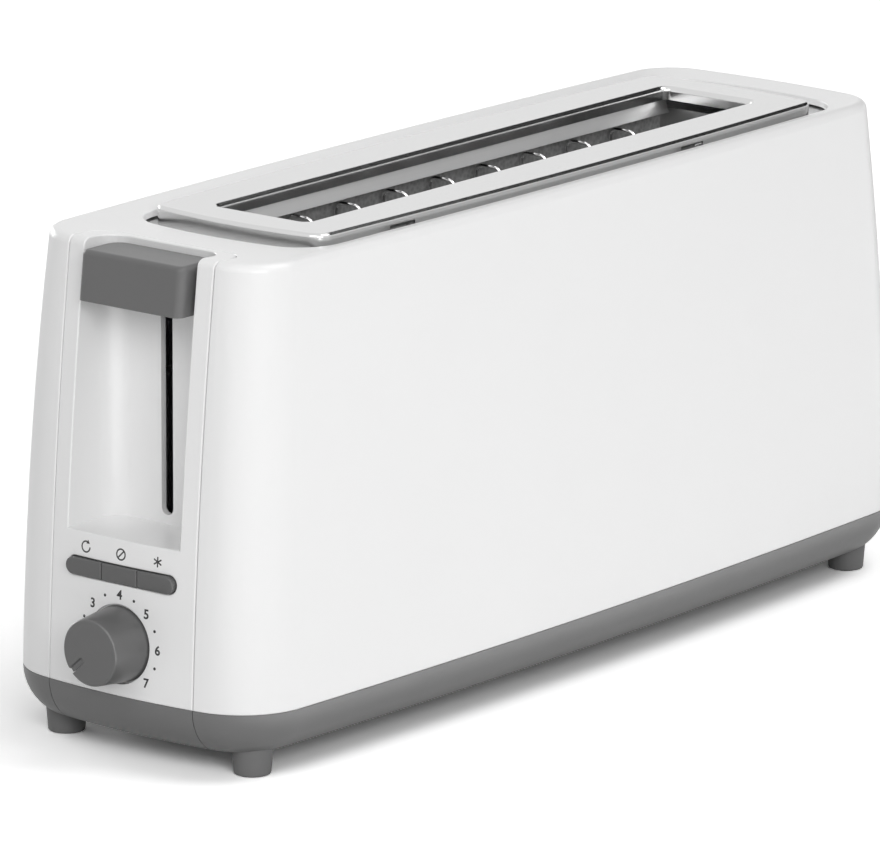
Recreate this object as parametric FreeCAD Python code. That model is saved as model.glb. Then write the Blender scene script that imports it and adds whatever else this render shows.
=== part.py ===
import FreeCAD, Part
import math
import os

# A long slot toaster: one slot for two slices side by side, lever and controls on the end at -X.
# Millimetres. X runs along the slot, the rear end is at +X, Z is up and the feet stand on Z = 0.

# Case: outline at its widest line, where the white case meets the grey skirt
case_length = 397.0
case_width = 128.0
case_height = 182.0
split_height = 25.0
case_corner = 27.0
end_bow = 2.2
side_bow = 4.1
# Case: how far the ends and sides come in at the top, and how much the walls bulge on the way
end_lean = 13.0
side_lean = 8.0
wall_bulge = 0.5
top_corner = 20.0
top_end_bow = 1.5
top_side_bow = 3.0
shoulder_radius = 3.2
case_wall = 2.5
edge_roll = 0.5
dish_depth = 2.0
dish_margin = 0.6
rim_land = 1.0

# Opening of the case in the top
opening_front_margin = 38.4
opening_rear_margin = 10.6
opening_side_margin = 12.4
opening_corner = 18.0
opening_bow = 1.8

# Steel plate in the opening, with the slot
plate_rise = 1.2
plate_sheet = 0.8
plate_front_gap = 10.8
plate_rear_gap = 14.9
plate_side_gap = 2.4
plate_corner = 6.0
plate_bow = 2.6
plate_edge = 1.4
flange_overlap = 3.0
flange_drop = 6.0
slot_width = 41.6
slot_front_land = 16.7
slot_rear_land = 16.8
slot_corner = 3.0
slot_edge = 1.8
slot_lip = 5.0
vent_length = 13.6
vent_height = 2.8
vent_drop = 2.8
vent_spread = 84.0
vent_shift = -17.6

# Skirt and floor
foot_height = 9.4
skirt_inset = 8.7
base_wall = 2.5
base_floor = 2.5
foot_radius = 7.4
foot_tip_radius = 6.6
foot_edge = 0.8
foot_end_margin = 22.5
foot_side_margin = 21.3
vent_slot_length = 26.0
vent_slot_width = 4.0
vent_slot_pitch = 34.0
vent_slot_count = 6
vent_slot_offset = 12.0

# Panel of the control end
panel_width = 65.2
panel_top_depth = 19.0
panel_corner = 9.0
seam_gap = 0.3
skirt_seam_depth = 6.0
recess_width = 51.0
recess_depth = 16.2
recess_corner = 8.0
recess_wall = 2.5
window_roll = 0.4
slot_room = 2.3
slot_end_rise = 1.6
sill_clearance = 3.3

# Lever handle, its arm and the slot that the arm runs in
handle_drop = 2.6
handle_height = 17.6
handle_width = 46.4
handle_proud = 4.0
handle_round = 3.0
handle_top_round = 2.0
handle_corner = 7.0
handle_wall = 2.2
handle_rib = 10.0
handle_gap = 0.8
arm_lift = 1.6
arm_height = 8.0
arm_grip = 8.0
bracket_thickness = 2.0
arm_clearance = 0.5

# Buttons, in one window with round ends
knob_rise = 18.5
button_rise = 24.5
sill_rise = 12.5
window_width = 49.4
window_height = 6.8
button_gap = 0.3
button_count = 3
button_proud = 1.1
button_travel = 1.5
button_flange = 1.5
flange_margin = 1.2
button_stem_width = 5.0
button_stem_height = 4.0

# Browning knob and its control
knob_base_radius = 13.6
knob_face_radius = 12.0
knob_length = 16.7
knob_edge = 0.8
knob_wall = 2.0
knob_hub_radius = 5.6
knob_seat_gap = 0.6
knob_seat_depth = 1.2
knob_float = 0.4
pointer_start = 3.5
pointer_length = 7.0
pointer_width = 1.2
pointer_depth = 0.6
pointer_angle = 132.0
shaft_radius = 3.0
shaft_clearance = 0.05
shaft_engagement = 11.0
bushing_radius = 4.2
bushing_clearance = 0.2
timer_size = 16.0
timer_depth = 7.0

# Control board behind the panel
board_setback = 17.5
board_thickness = 1.6
board_width = 58.0
board_bottom_gap = 4.0
board_top_gap = 1.5
post_radius = 3.0
post_spread = 53.0
post_low_rise = 9.0
post_high_rise = 32.0
switch_size = 6.0
switch_body = 3.0
switch_plunger = 1.0
switch_plunger_radius = 1.7
screw_shank_radius = 1.5
screw_head_radius = 2.8
screw_head_height = 2.0
board_screw_length = 10.0

# Toasting chamber
chamber_front_gap = 8.4
chamber_rear_gap = 6.8
chamber_sheet = 0.8
chamber_half_width = 34.0
chamber_leg = 5.0
chamber_rear_drop = 8.5
chamber_notch_width = 3.5
chamber_notch_height = 24.0
guide_strip_offset = 24.0
guide_strip_flare = 3.2
guide_strip_sheet = 0.6
guide_strip_bottom = 9.2
guide_strip_margin = 2.4
heater_offset = 28.0
heater_sheet = 0.8
heater_bottom_rise = 27.0
heater_top_drop = 9.0
ribbon_height = 2.2
ribbon_thickness = 0.4
ribbon_pitch = 11.8
ribbon_count = 10
ribbon_end_margin = 10.0
wire_radius = 0.7
wire_offset = 14.0
wire_count = 9
wire_first_margin = 18.8
wire_last_margin = 27.2
wire_bend = 3.0
wire_top_drop = 11.2
wire_bottom_rise = 31.0
wire_hook_offset = 25.6
wire_hook_length = 20.0
rail_radius = 0.9
rail_low_rise = 35.0
rail_high_drop = 32.0

# Bread rack and the mechanism that lifts it
rack_drop = 64.0
rack_bar = 8.0
rack_bar_thickness = 1.6
rack_finger_length = 24.0
rack_finger_width = 2.0
rack_finger_height = 2.0
rack_tail = 2.2
rack_slot_clearance = 0.5
bracket_front_gap = 4.0
bracket_rear_gap = 3.0
guide_rod_radius = 2.5
guide_rod_clearance = 0.05
guide_rod_gap = 20.0
guide_rod_offset = 9.0
eye_size = 14.0
eye_sheet = 1.5
eye_high_drop = 17.0
eye_low_drop = 52.0
tab_depth = 32.0
tab_width = 44.0
tab_sheet = 1.2
tab_low_height = 22.0
tab_high_drop = 9.0
spring_wire = 0.8
spring_radius = 4.4
spring_turns = 14
spring_end_gap = 0.3
magnet_length = 14.0
magnet_width = 12.0
magnet_offset = 13.0
magnet_yoke = 2.8
magnet_height = 14.0
magnet_pole = 1.5
magnet_middle_pole = 3.0
coil_gap = 0.3
coil_overhang = 1.5
coil_top_gap = 1.7
latch_sheet = 1.5
latch_thickness = 3.0
latch_gap = 0.3

# Crumb tray, which pulls out at the rear
tray_half_width = 27.0
tray_depth = 6.3
tray_sheet = 0.8
tray_lift = 0.4
tray_front_clearance = 4.0
tray_front_width = 62.0
tray_gap = 0.4
tray_block_half_width = 25.0

# Cord gland and terminal block at the rear
gland_rise = 19.0
gland_radius = 5.0
gland_bore = 3.3
gland_flange_radius = 8.0
gland_reach = 2.8
gland_flange_reach = 1.8
gland_depth = 8.0
terminal_length = 20.0
terminal_height = 12.0
terminal_depth = 9.0
terminal_offset = 18.0
terminal_rise = 6.0

# Screws of the base
base_screw_spacing = 220.0
base_screw_offset = 44.0
base_boss_radius = 5.0
base_post_radius = 4.2
base_post_height = 26.0
base_hole_radius = 1.9
counterbore_radius = 3.6
counterbore_depth = 4.6
base_screw_head_radius = 3.2
base_screw_head_height = 2.5
base_screw_length = 22.0
post_rib = 2.0

# Worked out from the sizes above
half_length = case_length / 2
half_width = case_width / 2
top_half_length = half_length - end_lean
top_half_width = half_width - side_lean
wall_top = case_height - shoulder_radius
ceiling = case_height - dish_depth - case_wall
floor_top = foot_height + base_floor
knob_height = split_height + knob_rise
button_height = knob_height + button_rise
recess_floor = button_height + sill_rise
handle_top = case_height - handle_drop
handle_bottom = handle_top - handle_height
lever_travel = handle_bottom - sill_clearance - recess_floor
opening_front = -top_half_length + opening_front_margin
opening_rear = top_half_length - opening_rear_margin
opening_half_width = top_half_width - opening_side_margin
plate_front = opening_front + plate_front_gap
plate_rear = opening_rear - plate_rear_gap
plate_half_width = opening_half_width - plate_side_gap
plate_top = case_height + plate_rise
plate_underside = plate_top - plate_sheet
flange_bottom = case_height - flange_drop
slot_front = plate_front + slot_front_land
slot_rear = plate_rear - slot_rear_land
chamber_front = slot_front - chamber_front_gap
chamber_rear = slot_rear + chamber_rear_gap
chamber_top = flange_bottom
recess_back = -top_half_length + recess_depth
pocket_rear = recess_back + recess_wall
arm_bottom = handle_bottom + arm_lift
arm_top = arm_bottom + arm_height
bracket_front = pocket_rear + bracket_front_gap
bracket_rear = chamber_front - chamber_sheet - bracket_rear_gap
guide_rod_x = chamber_front - guide_rod_gap
wire_pitch = (slot_rear - slot_front - wire_first_margin - wire_last_margin) / (wire_count - 1)
rack_top = case_height - rack_drop
rack_bottom = rack_top - rack_bar
tab_high_bottom = case_height - tab_high_drop
tab_low_top = tab_low_height + tab_sheet
board_front = -half_length + board_setback
panel_rear = -top_half_length + panel_top_depth
outside = 40.0
tolerance = 0.01


def vector(x, y, z):
    """A point or a direction."""
    return FreeCAD.Vector(x, y, z)


def box(x0, x1, y0, y1, z0, z1):
    """A block between two values on each axis."""
    return Part.makeBox(x1 - x0, y1 - y0, z1 - z0, vector(x0, y0, z0))


def upright(x, y, z0, z1, radius):
    """A round bar that stands on the XY plane's normal."""
    return Part.makeCylinder(radius, z1 - z0, vector(x, y, z0))


def lengthwise(x0, x1, y, z, radius):
    """A round bar along X."""
    return Part.makeCylinder(radius, x1 - x0, vector(x0, y, z), vector(1, 0, 0))


def joined(shapes):
    """The shapes as one solid."""
    return shapes[0].fuse(shapes[1:]).removeSplitter()


def without(shape, tools):
    """The shape with the tools cut out of it."""
    return shape.cut(Part.makeCompound(tools))


def far_side(shape):
    """The same shape on the other long side."""
    return shape.mirror(vector(0, 0, 0), vector(0, 1, 0))


def bowed_outline(x0, x1, half_y, corner, bow_x, bow_y, z):
    """A rounded rectangle whose four sides bulge: eight arcs, each tangent to the next."""
    middle = (x0 + x1) / 2
    half_x = (x1 - x0) / 2
    core_x = half_x - bow_x - corner
    core_y = half_y - bow_y - corner
    side_radius = (core_x ** 2 + bow_y ** 2) / (2 * bow_y)
    end_radius = (core_y ** 2 + bow_x ** 2) / (2 * bow_x)
    core = vector(core_x, -core_y, 0)
    side_normal = (core - vector(0, side_radius - core_y - bow_y, 0)).normalize()
    end_normal = (core - vector(core_x + bow_x - end_radius, 0, 0)).normalize()
    corner_normal = (side_normal + end_normal).normalize()
    side_end = core + side_normal * corner
    corner_middle = core + corner_normal * corner
    end_start = core + end_normal * corner

    def at(point, sign_x, sign_y):
        return vector(middle + sign_x * point.x, sign_y * point.y, z)

    side_middle = vector(0, -half_y, 0)
    end_middle = vector(half_x, 0, 0)
    arcs = [
        Part.Arc(at(side_end, -1, 1), at(side_middle, 1, 1), at(side_end, 1, 1)),
        Part.Arc(at(side_end, 1, 1), at(corner_middle, 1, 1), at(end_start, 1, 1)),
        Part.Arc(at(end_start, 1, 1), at(end_middle, 1, 1), at(end_start, 1, -1)),
        Part.Arc(at(end_start, 1, -1), at(corner_middle, 1, -1), at(side_end, 1, -1)),
        Part.Arc(at(side_end, 1, -1), at(side_middle, 1, -1), at(side_end, -1, -1)),
        Part.Arc(at(side_end, -1, -1), at(corner_middle, -1, -1), at(end_start, -1, -1)),
        Part.Arc(at(end_start, -1, -1), at(end_middle, -1, 1), at(end_start, -1, 1)),
        Part.Arc(at(end_start, -1, 1), at(corner_middle, -1, 1), at(side_end, -1, 1)),
    ]
    return Part.Wire([arc.toShape() for arc in arcs])


def prism(wire, height):
    """A flat closed wire pulled up by a height."""
    return Part.Face(wire).extrude(vector(0, 0, height))


def rounded_block(x0, x1, half_y, corner, z0, z1):
    """A block with its four upright edges rounded."""
    block = box(x0, x1, -half_y, half_y, z0, z1)
    edges = [e for e in block.Edges if e.BoundBox.ZLength > (z1 - z0) / 2]
    return block.makeFillet(corner, edges)


def pill_bar(x0, x1, width, height, z):
    """A bar along X with a section that is round at both ends."""
    half = width / 2 - height / 2
    middle = box(x0, x1, -half, half, z - height / 2, z + height / 2)
    ends = [lengthwise(x0, x1, side * half, z, height / 2) for side in (-1, 1)]
    return joined([middle] + ends)


def wall_fraction(z):
    """How much of its lean a wall has at a height: 0 at the split line, 1 at the shoulder."""
    t = (z - split_height) / (wall_top - split_height)
    return t - wall_bulge * t * (1 - t)


def case_end(z):
    """Half the case's length at a height."""
    return half_length - end_lean * wall_fraction(z)


def case_section(z, inset):
    """The case's outline at a height, moved in by a wall."""
    t = (z - split_height) / (wall_top - split_height)
    end = case_end(z) - inset
    side = half_width - side_lean * wall_fraction(z) - inset
    corner = case_corner + (top_corner - case_corner) * t - inset
    bow_x = end_bow + (top_end_bow - end_bow) * t
    bow_y = side_bow + (top_side_bow - side_bow) * t
    return bowed_outline(-end, end, side, corner, bow_x, bow_y, z)


def case_loft(top, inset):
    """The case's solid form from the split line to a height."""
    levels = [split_height + (top - split_height) * i / 3 for i in range(4)]
    return Part.makeLoft([case_section(z, inset) for z in levels], True, False)


def case_form():
    """The outside of the case, with its rounded top edge."""
    form = case_loft(case_height, 0)
    edges = [e for e in form.Edges if e.BoundBox.ZMin > case_height - shoulder_radius / 4]
    return form.makeFillet(shoulder_radius, edges)


def opening_outline(z, extra):
    """The opening in the case's top, widened by extra."""
    return bowed_outline(opening_front - extra, opening_rear + extra, opening_half_width + extra,
                         opening_corner + extra, opening_bow, opening_bow, z)


def plate_outline(z, inset):
    """The steel plate's outline, moved in by inset."""
    return bowed_outline(plate_front + inset, plate_rear - inset, plate_half_width - inset,
                         plate_corner - inset, plate_bow, plate_bow, z)


def dish():
    """What the top's gentle fall towards the opening takes away."""
    inset = shoulder_radius + dish_margin
    end = top_half_length - inset
    high = bowed_outline(-end, end, top_half_width - inset, top_corner - inset,
                         top_end_bow, top_side_bow, case_height)
    low = opening_outline(case_height - dish_depth, rim_land)
    return Part.makeLoft([low, high], True, True)


def panel_zone(gap):
    """The part of the case that belongs to the front panel, widened by a gap."""
    return rounded_block(-half_length - outside, panel_rear + gap, panel_width / 2 + gap,
                         panel_corner + gap, split_height - gap, case_height + outside)


def middle_of(edge):
    """The point halfway along an edge."""
    return edge.valueAt((edge.FirstParameter + edge.LastParameter) / 2)


def rolled(shape, radius, edges):
    """The shape with some edges rolled, or as it was where that radius doesn't fit."""
    try:
        result = shape.makeFillet(radius, edges)
    except Part.OCCError:
        return shape
    return result if result.isValid() else shape


def edges_on(shape, wire):
    """The shape's edges that lie on a wire."""
    found = []
    for edge in shape.Edges:
        spots = [middle_of(edge)] + [corner.Point for corner in edge.Vertexes]
        if all(Part.Vertex(spot).distToShape(wire)[0] < tolerance for spot in spots):
            found.append(edge)
    return found


def on_panel_side(point, gap):
    """Whether a point lies on the upright sides of the panel's zone."""
    radius = panel_corner + gap
    centre_x = panel_rear + gap - radius
    centre_y = panel_width / 2 + gap - radius
    x = point.x - centre_x
    y = abs(point.y) - centre_y
    if x > 0 and y > 0:
        return abs(math.hypot(x, y) - radius) < tolerance
    return abs(y - radius if x <= 0 else x - radius) < tolerance


def is_outside(point):
    """Whether a point lies on the outer skin of the control end or of the top."""
    z = min(max(split_height, point.z), wall_top)
    return point.x < -case_end(z) + case_wall / 2 or point.z > ceiling + case_wall / 2


def seam_edges(shape, gap):
    """The outer edges along the seam between the panel and the case."""
    found = []
    for edge in shape.Edges:
        spots = [middle_of(edge)] + [corner.Point for corner in edge.Vertexes]
        upright_line = edge.Curve.TypeId == "Part::GeomLine" and edge.BoundBox.ZLength > 1
        seam = all(on_panel_side(spot, gap) for spot in spots) and spots[0].z > split_height + tolerance
        if seam and is_outside(spots[0]) and not upright_line:
            found.append(edge)
    return found


def bottom_edges(shape):
    """The outer edges on the split line."""
    return edges_on(shape, case_section(split_height, 0))


def base_post_points():
    """Where the four screws of the base stand."""
    return [(sx * base_screw_spacing / 2, sy * base_screw_offset) for sx in (-1, 1) for sy in (-1, 1)]


def case_walls(form):
    """The hollow case, with its opening and its dished top."""
    hollow = case_loft(ceiling, case_wall)
    opening = prism(opening_outline(split_height, 0), case_height)
    return without(form, [hollow, opening, dish()])


def base_posts(form):
    """Screw posts that hang in the case, each with a rib to the side wall."""
    posts = []
    top = split_height + base_post_height
    for x, y in base_post_points():
        side = math.copysign(1, y)
        post = upright(x, y, split_height, top, base_post_radius)
        rib = box(x - post_rib / 2, x + post_rib / 2, 0, half_width - abs(y), split_height, top)
        rib.translate(vector(0, abs(y), 0))
        if side < 0:
            rib = far_side(rib)
        slab = case_loft(top, case_wall / 2)
        posts.append(joined([post, rib.common(slab)]))
    return posts


def screw_holes():
    """Pilot holes in the base's posts."""
    depth = base_screw_length + counterbore_depth
    return [upright(x, y, foot_height, foot_height + depth, screw_shank_radius)
            for x, y in base_post_points()]


def gland_hole():
    """The hole of the cord gland in the rear wall."""
    return lengthwise(0, half_length + outside, 0, split_height + gland_rise, gland_radius)


def body_shell(form, walls):
    """The white case without its front panel."""
    rear_half = box(0, half_length + outside, -half_width, half_width, 0, case_height)
    hole = gland_hole().common(rear_half)
    shell = without(walls, [panel_zone(seam_gap), hole])
    solid = without(joined([shell] + base_posts(form)), screw_holes())
    rim = edges_on(solid, opening_outline(case_height - dish_depth, 0))
    return rolled(solid, edge_roll, bottom_edges(solid) + seam_edges(solid, seam_gap) + rim)


def recess_space():
    """The deep recess that the lever runs in, open at its front and at its top."""
    return rounded_block(-half_length - outside, recess_back, recess_width / 2, recess_corner,
                         recess_floor, case_height + outside)


def button_window():
    """The window of the three buttons."""
    return pill_bar(-half_length - outside, board_front, window_width, window_height, button_height)


def recess_edges(panel):
    """The panel's edges round the recess's mouth, at the front and at the top."""
    half = recess_width / 2
    found = []
    for edge in panel.Edges:
        spot = middle_of(edge)
        size = edge.BoundBox
        beside = abs(abs(spot.y) - half) < tolerance and size.YLength < 2 * tolerance
        sill = abs(spot.z - recess_floor) < tolerance and size.ZLength < 2 * tolerance
        across = spot.z > ceiling + case_wall / 2 and abs(spot.y) < half and spot.x < recess_back + 1
        if is_outside(spot) and (beside or sill or across):
            found.append(edge)
    return found


def window_edges(panel):
    """The panel's edges round the button window's mouth."""
    found = []
    for edge in panel.Edges:
        spot = middle_of(edge)
        beside = abs(spot.y) < window_width / 2 + 1
        level = abs(spot.z - button_height) < window_height / 2 + 1
        near = beside and level and is_outside(spot)
        if near and all(is_outside(corner.Point) for corner in edge.Vertexes):
            found.append(edge)
    return found


def lever_slot():
    """The upright slot for the lever's arm, round at both ends and wider on the far side."""
    half = (bracket_thickness + slot_room) / 2 + arm_clearance
    middle = slot_room / 2
    low = arm_bottom - lever_travel - arm_clearance + slot_end_rise
    high = arm_top + arm_clearance - slot_end_rise
    front = recess_back - 1
    rear = pocket_rear + 1
    ends = [lengthwise(front, rear, middle, z, half) for z in (low, high)]
    return joined([box(front, rear, middle - half, middle + half, low, high)] + ends)


def knob_seat_floor():
    """How far in the flat seat of the knob lies, on X."""
    return -case_end(knob_height + knob_base_radius) + knob_seat_depth


def board_posts():
    """Four posts that carry the control board."""
    posts = []
    for rise in (post_low_rise, post_high_rise):
        for side in (-1, 1):
            posts.append(lengthwise(-half_length, board_front, side * post_spread / 2,
                                    split_height + rise, post_radius))
    return posts


def board_screw_bars(x0, x1, radius):
    """Four bars on the axes of the board's screws."""
    return [lengthwise(x0, x1, side * post_spread / 2, split_height + rise, radius)
            for rise in (post_low_rise, post_high_rise) for side in (-1, 1)]


def front_panel(form, walls):
    """The white end panel with its recess, button window and knob seat."""
    skin = walls.common(panel_zone(0))
    skin = rolled(skin, edge_roll, seam_edges(skin, 0) + bottom_edges(skin))
    half = recess_width / 2 + recess_wall
    pocket = box(-half_length - outside, pocket_rear, -half, half, recess_floor - recess_wall, ceiling)
    seat_floor = knob_seat_floor()
    seat_radius = knob_base_radius + knob_seat_gap
    boss = lengthwise(-half_length, seat_floor + recess_wall, 0, knob_height, seat_radius + recess_wall)
    inner = [part.common(form) for part in [pocket, boss] + board_posts()]
    solid = joined([skin] + inner)
    seat = lengthwise(-half_length - outside, seat_floor, 0, knob_height, seat_radius)
    hole = lengthwise(-half_length, board_front, 0, knob_height, bushing_radius + bushing_clearance)
    pilots = board_screw_bars(board_front - board_screw_length, board_front, screw_shank_radius)
    spaces = [recess_space(), button_window(), lever_slot(), seat, hole]
    panel = without(solid, spaces + pilots)
    panel = rolled(panel, edge_roll, recess_edges(panel))
    return rolled(panel, window_roll, window_edges(panel))


def skirt_level(z):
    """How far the skirt has curved in at a height: a quarter of an arc that starts upright."""
    height = split_height - foot_height
    radius = (height ** 2 + skirt_inset ** 2) / (2 * skirt_inset)
    return radius - math.sqrt(radius ** 2 - (split_height - z) ** 2)


def skirt_section(z, inset):
    """The skirt's outline at a height, moved in by a wall."""
    curve = skirt_level(z) + inset
    end = half_length - curve
    return bowed_outline(-end, end, half_width - curve, case_corner - curve, end_bow, side_bow, z)


def skirt_form(bottom, inset):
    """The solid form of the skirt from a height up to the split line."""
    levels = [bottom + (split_height - bottom) * i / 4 for i in range(5)]
    return Part.makeLoft([skirt_section(z, inset) for z in levels], True, False)


def front_skirt_zone(gap):
    """The part of the skirt below the front panel."""
    return box(-half_length - outside, -half_length + skirt_inset + skirt_seam_depth + gap,
               -panel_width / 2 - gap, panel_width / 2 + gap, 0, split_height)


def tray_front_zone(gap):
    """The part of the skirt that pulls out with the crumb tray."""
    return box(half_length - skirt_inset - skirt_seam_depth + gap, half_length + outside,
               -tray_front_width / 2 + gap, tray_front_width / 2 - gap, 0, split_height - gap)


def floor_vents():
    """Two rows of air slots in the floor, off the middle."""
    vents = []
    for i in range(vent_slot_count):
        x = (i - (vent_slot_count - 1) / 2) * vent_slot_pitch
        for side in (-1, 1):
            y = side * vent_slot_offset
            vents.append(box(x - vent_slot_length / 2, x + vent_slot_length / 2, y - vent_slot_width / 2,
                             y + vent_slot_width / 2, foot_height - 1, floor_top + 1))
    return vents


def base_skirt():
    """The whole grey pan, before its two end pieces are taken off."""
    return skirt_form(foot_height, 0).cut(skirt_form(floor_top, base_wall))


def base_pan(pan):
    """Floor and skirt, with screw bosses and air slots."""
    bosses = [upright(x, y, foot_height, split_height, base_boss_radius) for x, y in base_post_points()]
    tools = [upright(x, y, 0, split_height, base_hole_radius) for x, y in base_post_points()]
    tools += [upright(x, y, 0, foot_height + counterbore_depth, counterbore_radius)
              for x, y in base_post_points()]
    rear = box(half_length - skirt_inset - skirt_seam_depth, half_length + outside,
               -tray_front_width / 2, tray_front_width / 2, 0, split_height)
    return without(joined([pan] + bosses), tools + floor_vents() + [front_skirt_zone(seam_gap), rear])


def feet():
    """Four short feet, cut to the curve of the skirt where they meet it."""
    solids = []
    form = skirt_form(foot_height, 0)
    for sx in (-1, 1):
        for sy in (-1, 1):
            x = sx * (half_length - foot_end_margin)
            y = sy * (half_width - foot_side_margin)
            foot = Part.makeCone(foot_tip_radius, foot_radius, foot_height + 1, vector(x, y, 0))
            edges = [e for e in foot.Edges if e.BoundBox.ZMax < foot_edge / 2]
            foot = foot.makeFillet(foot_edge, edges)
            solids.append(foot.cut(form))
    return Part.makeCompound(solids)


def base_screws():
    """Four screws, from below through the floor into the case's posts."""
    screws = []
    seat = foot_height + counterbore_depth
    for x, y in base_post_points():
        head = upright(x, y, seat - base_screw_head_height, seat, base_screw_head_radius)
        shank = upright(x, y, seat, seat + base_screw_length, screw_shank_radius)
        screws.append(joined([head, shank]))
    return Part.makeCompound(screws)


def slot_block(extra, z0, z1):
    """The slot's space, widened by extra."""
    return rounded_block(slot_front - extra, slot_rear + extra, slot_width / 2 + extra,
                         slot_corner + extra, z0, z1)


def edges_at(shape, z, inside):
    """The shape's edges at a height, either round the slot or round the outside."""
    margin = 1
    found = []
    for edge in shape.Edges:
        spot = edge.BoundBox
        level = abs(spot.ZMin - z) < 0.01 and abs(spot.ZMax - z) < 0.01
        near = (spot.XMin > slot_front - margin and spot.XMax < slot_rear + margin
                and max(abs(spot.YMin), abs(spot.YMax)) < slot_width / 2 + margin)
        if level and near == inside:
            found.append(edge)
    return found


def plate_form(inset, top, bottom):
    """The raised plate as a block with the slot through it and both top edges rounded."""
    form = prism(plate_outline(bottom, inset), top - bottom)
    form = form.cut(slot_block(inset, bottom - 1, top + 1))
    form = form.makeFillet(plate_edge - inset, edges_at(form, top, False))
    return form.makeFillet(slot_edge - inset, edges_at(form, top, True))


def plate_vents():
    """Two air windows in each side wall of the plate, clear of the slot's lip."""
    vents = []
    top = plate_top - vent_drop
    clear = slot_width / 2 + plate_sheet
    for sign in (-1, 1):
        x = (plate_front + plate_rear) / 2 + vent_shift + sign * vent_spread - vent_length / 2
        for y in (clear, -half_width):
            vents.append(box(x, x + vent_length, y, y + half_width - clear, top - vent_height, top))
    return vents


def top_plate():
    """Steel plate: raised top with the slot, side walls with vents, and a flange under the rim."""
    shell = plate_form(0, plate_top, flange_bottom).cut(
        plate_form(plate_sheet, plate_underside, flange_bottom - 1))
    island = slot_block(plate_sheet + slot_edge, flange_bottom - 1, plate_top - slot_lip)
    flange = prism(opening_outline(flange_bottom, flange_overlap), plate_sheet)
    centre = prism(plate_outline(flange_bottom - 1, plate_sheet), 2 + plate_sheet)
    return without(joined([shell.cut(island), flange.cut(centre)]), plate_vents())


def guide_strip():
    """Flared strip beside the slot that leads a slice in between the wires (near side)."""
    low = case_height - guide_strip_bottom
    x0 = slot_front - guide_strip_margin
    high_y = -guide_strip_offset
    low_y = high_y + guide_strip_flare
    corners = [(low_y, low), (low_y - guide_strip_sheet, low),
               (high_y - guide_strip_sheet, plate_underside), (high_y, plate_underside)]
    outline = Part.makePolygon([vector(x0, y, z) for y, z in corners + corners[:1]])
    return Part.Face(outline).extrude(vector(slot_rear + guide_strip_margin - x0, 0, 0))


def rack_slot(x):
    """The upright slot in an end plate that the bread rack's bar runs in."""
    half = rack_bar_thickness / 2 + rack_slot_clearance
    return box(x - 1, x + chamber_sheet + 1, -half, half,
               rack_bottom - lever_travel - rack_slot_clearance, rack_top + rack_slot_clearance)


def chamber_front_plate():
    """Front end plate of the chamber, with two tabs that hold the mechanism."""
    plate = box(chamber_front - chamber_sheet, chamber_front, -chamber_half_width, chamber_half_width,
                floor_top, chamber_top)
    edge = chamber_front - chamber_sheet
    tabs = [box(edge - tab_depth, edge, -tab_width / 2, tab_width / 2, z, z + tab_sheet)
            for z in (tab_low_height, tab_high_bottom)]
    return joined([plate] + tabs).cut(rack_slot(chamber_front - chamber_sheet))


def chamber_rear_plate():
    """Rear end plate of the chamber, on two legs beside the crumb tray."""
    top = case_height - chamber_rear_drop
    plate = box(chamber_rear, chamber_rear + chamber_sheet, -chamber_half_width, chamber_half_width,
                floor_top, top)
    front = chamber_rear - 1
    rear = chamber_rear + chamber_sheet + 1
    notch = box(front, rear, chamber_half_width - chamber_notch_width, chamber_half_width + 1,
                top - chamber_notch_height, top + 1)
    passage = box(front, rear, chamber_leg - chamber_half_width, chamber_half_width - chamber_leg,
                  floor_top - 1, split_height)
    return without(plate, [passage, rack_slot(chamber_rear), notch, far_side(notch)])


def reflector():
    """Side sheet of the chamber (near side)."""
    return box(chamber_front - chamber_sheet, chamber_rear + chamber_sheet,
               -chamber_half_width - chamber_sheet, -chamber_half_width, floor_top, chamber_top)


def heater_board():
    """Mica board that carries the winding (near side)."""
    return box(chamber_front, chamber_rear, -heater_offset - heater_sheet, -heater_offset,
               foot_height + heater_bottom_rise, case_height - heater_top_drop)


def heater_winding():
    """Flat ribbon wound to and fro across the board's inner face (near side)."""
    x0 = chamber_front + ribbon_end_margin
    x1 = chamber_rear - ribbon_end_margin
    y0 = -heater_offset
    y1 = y0 + ribbon_thickness
    first = foot_height + heater_bottom_rise + ribbon_pitch / 2
    runs = []
    for i in range(ribbon_count):
        z = first + i * ribbon_pitch
        runs.append(box(x0, x1, y0, y1, z, z + ribbon_height))
        if i:
            x = x0 if i % 2 else x1 - ribbon_height
            runs.append(box(x, x + ribbon_height, y0, y1, z - ribbon_pitch, z + ribbon_height))
    return joined(runs)


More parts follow.
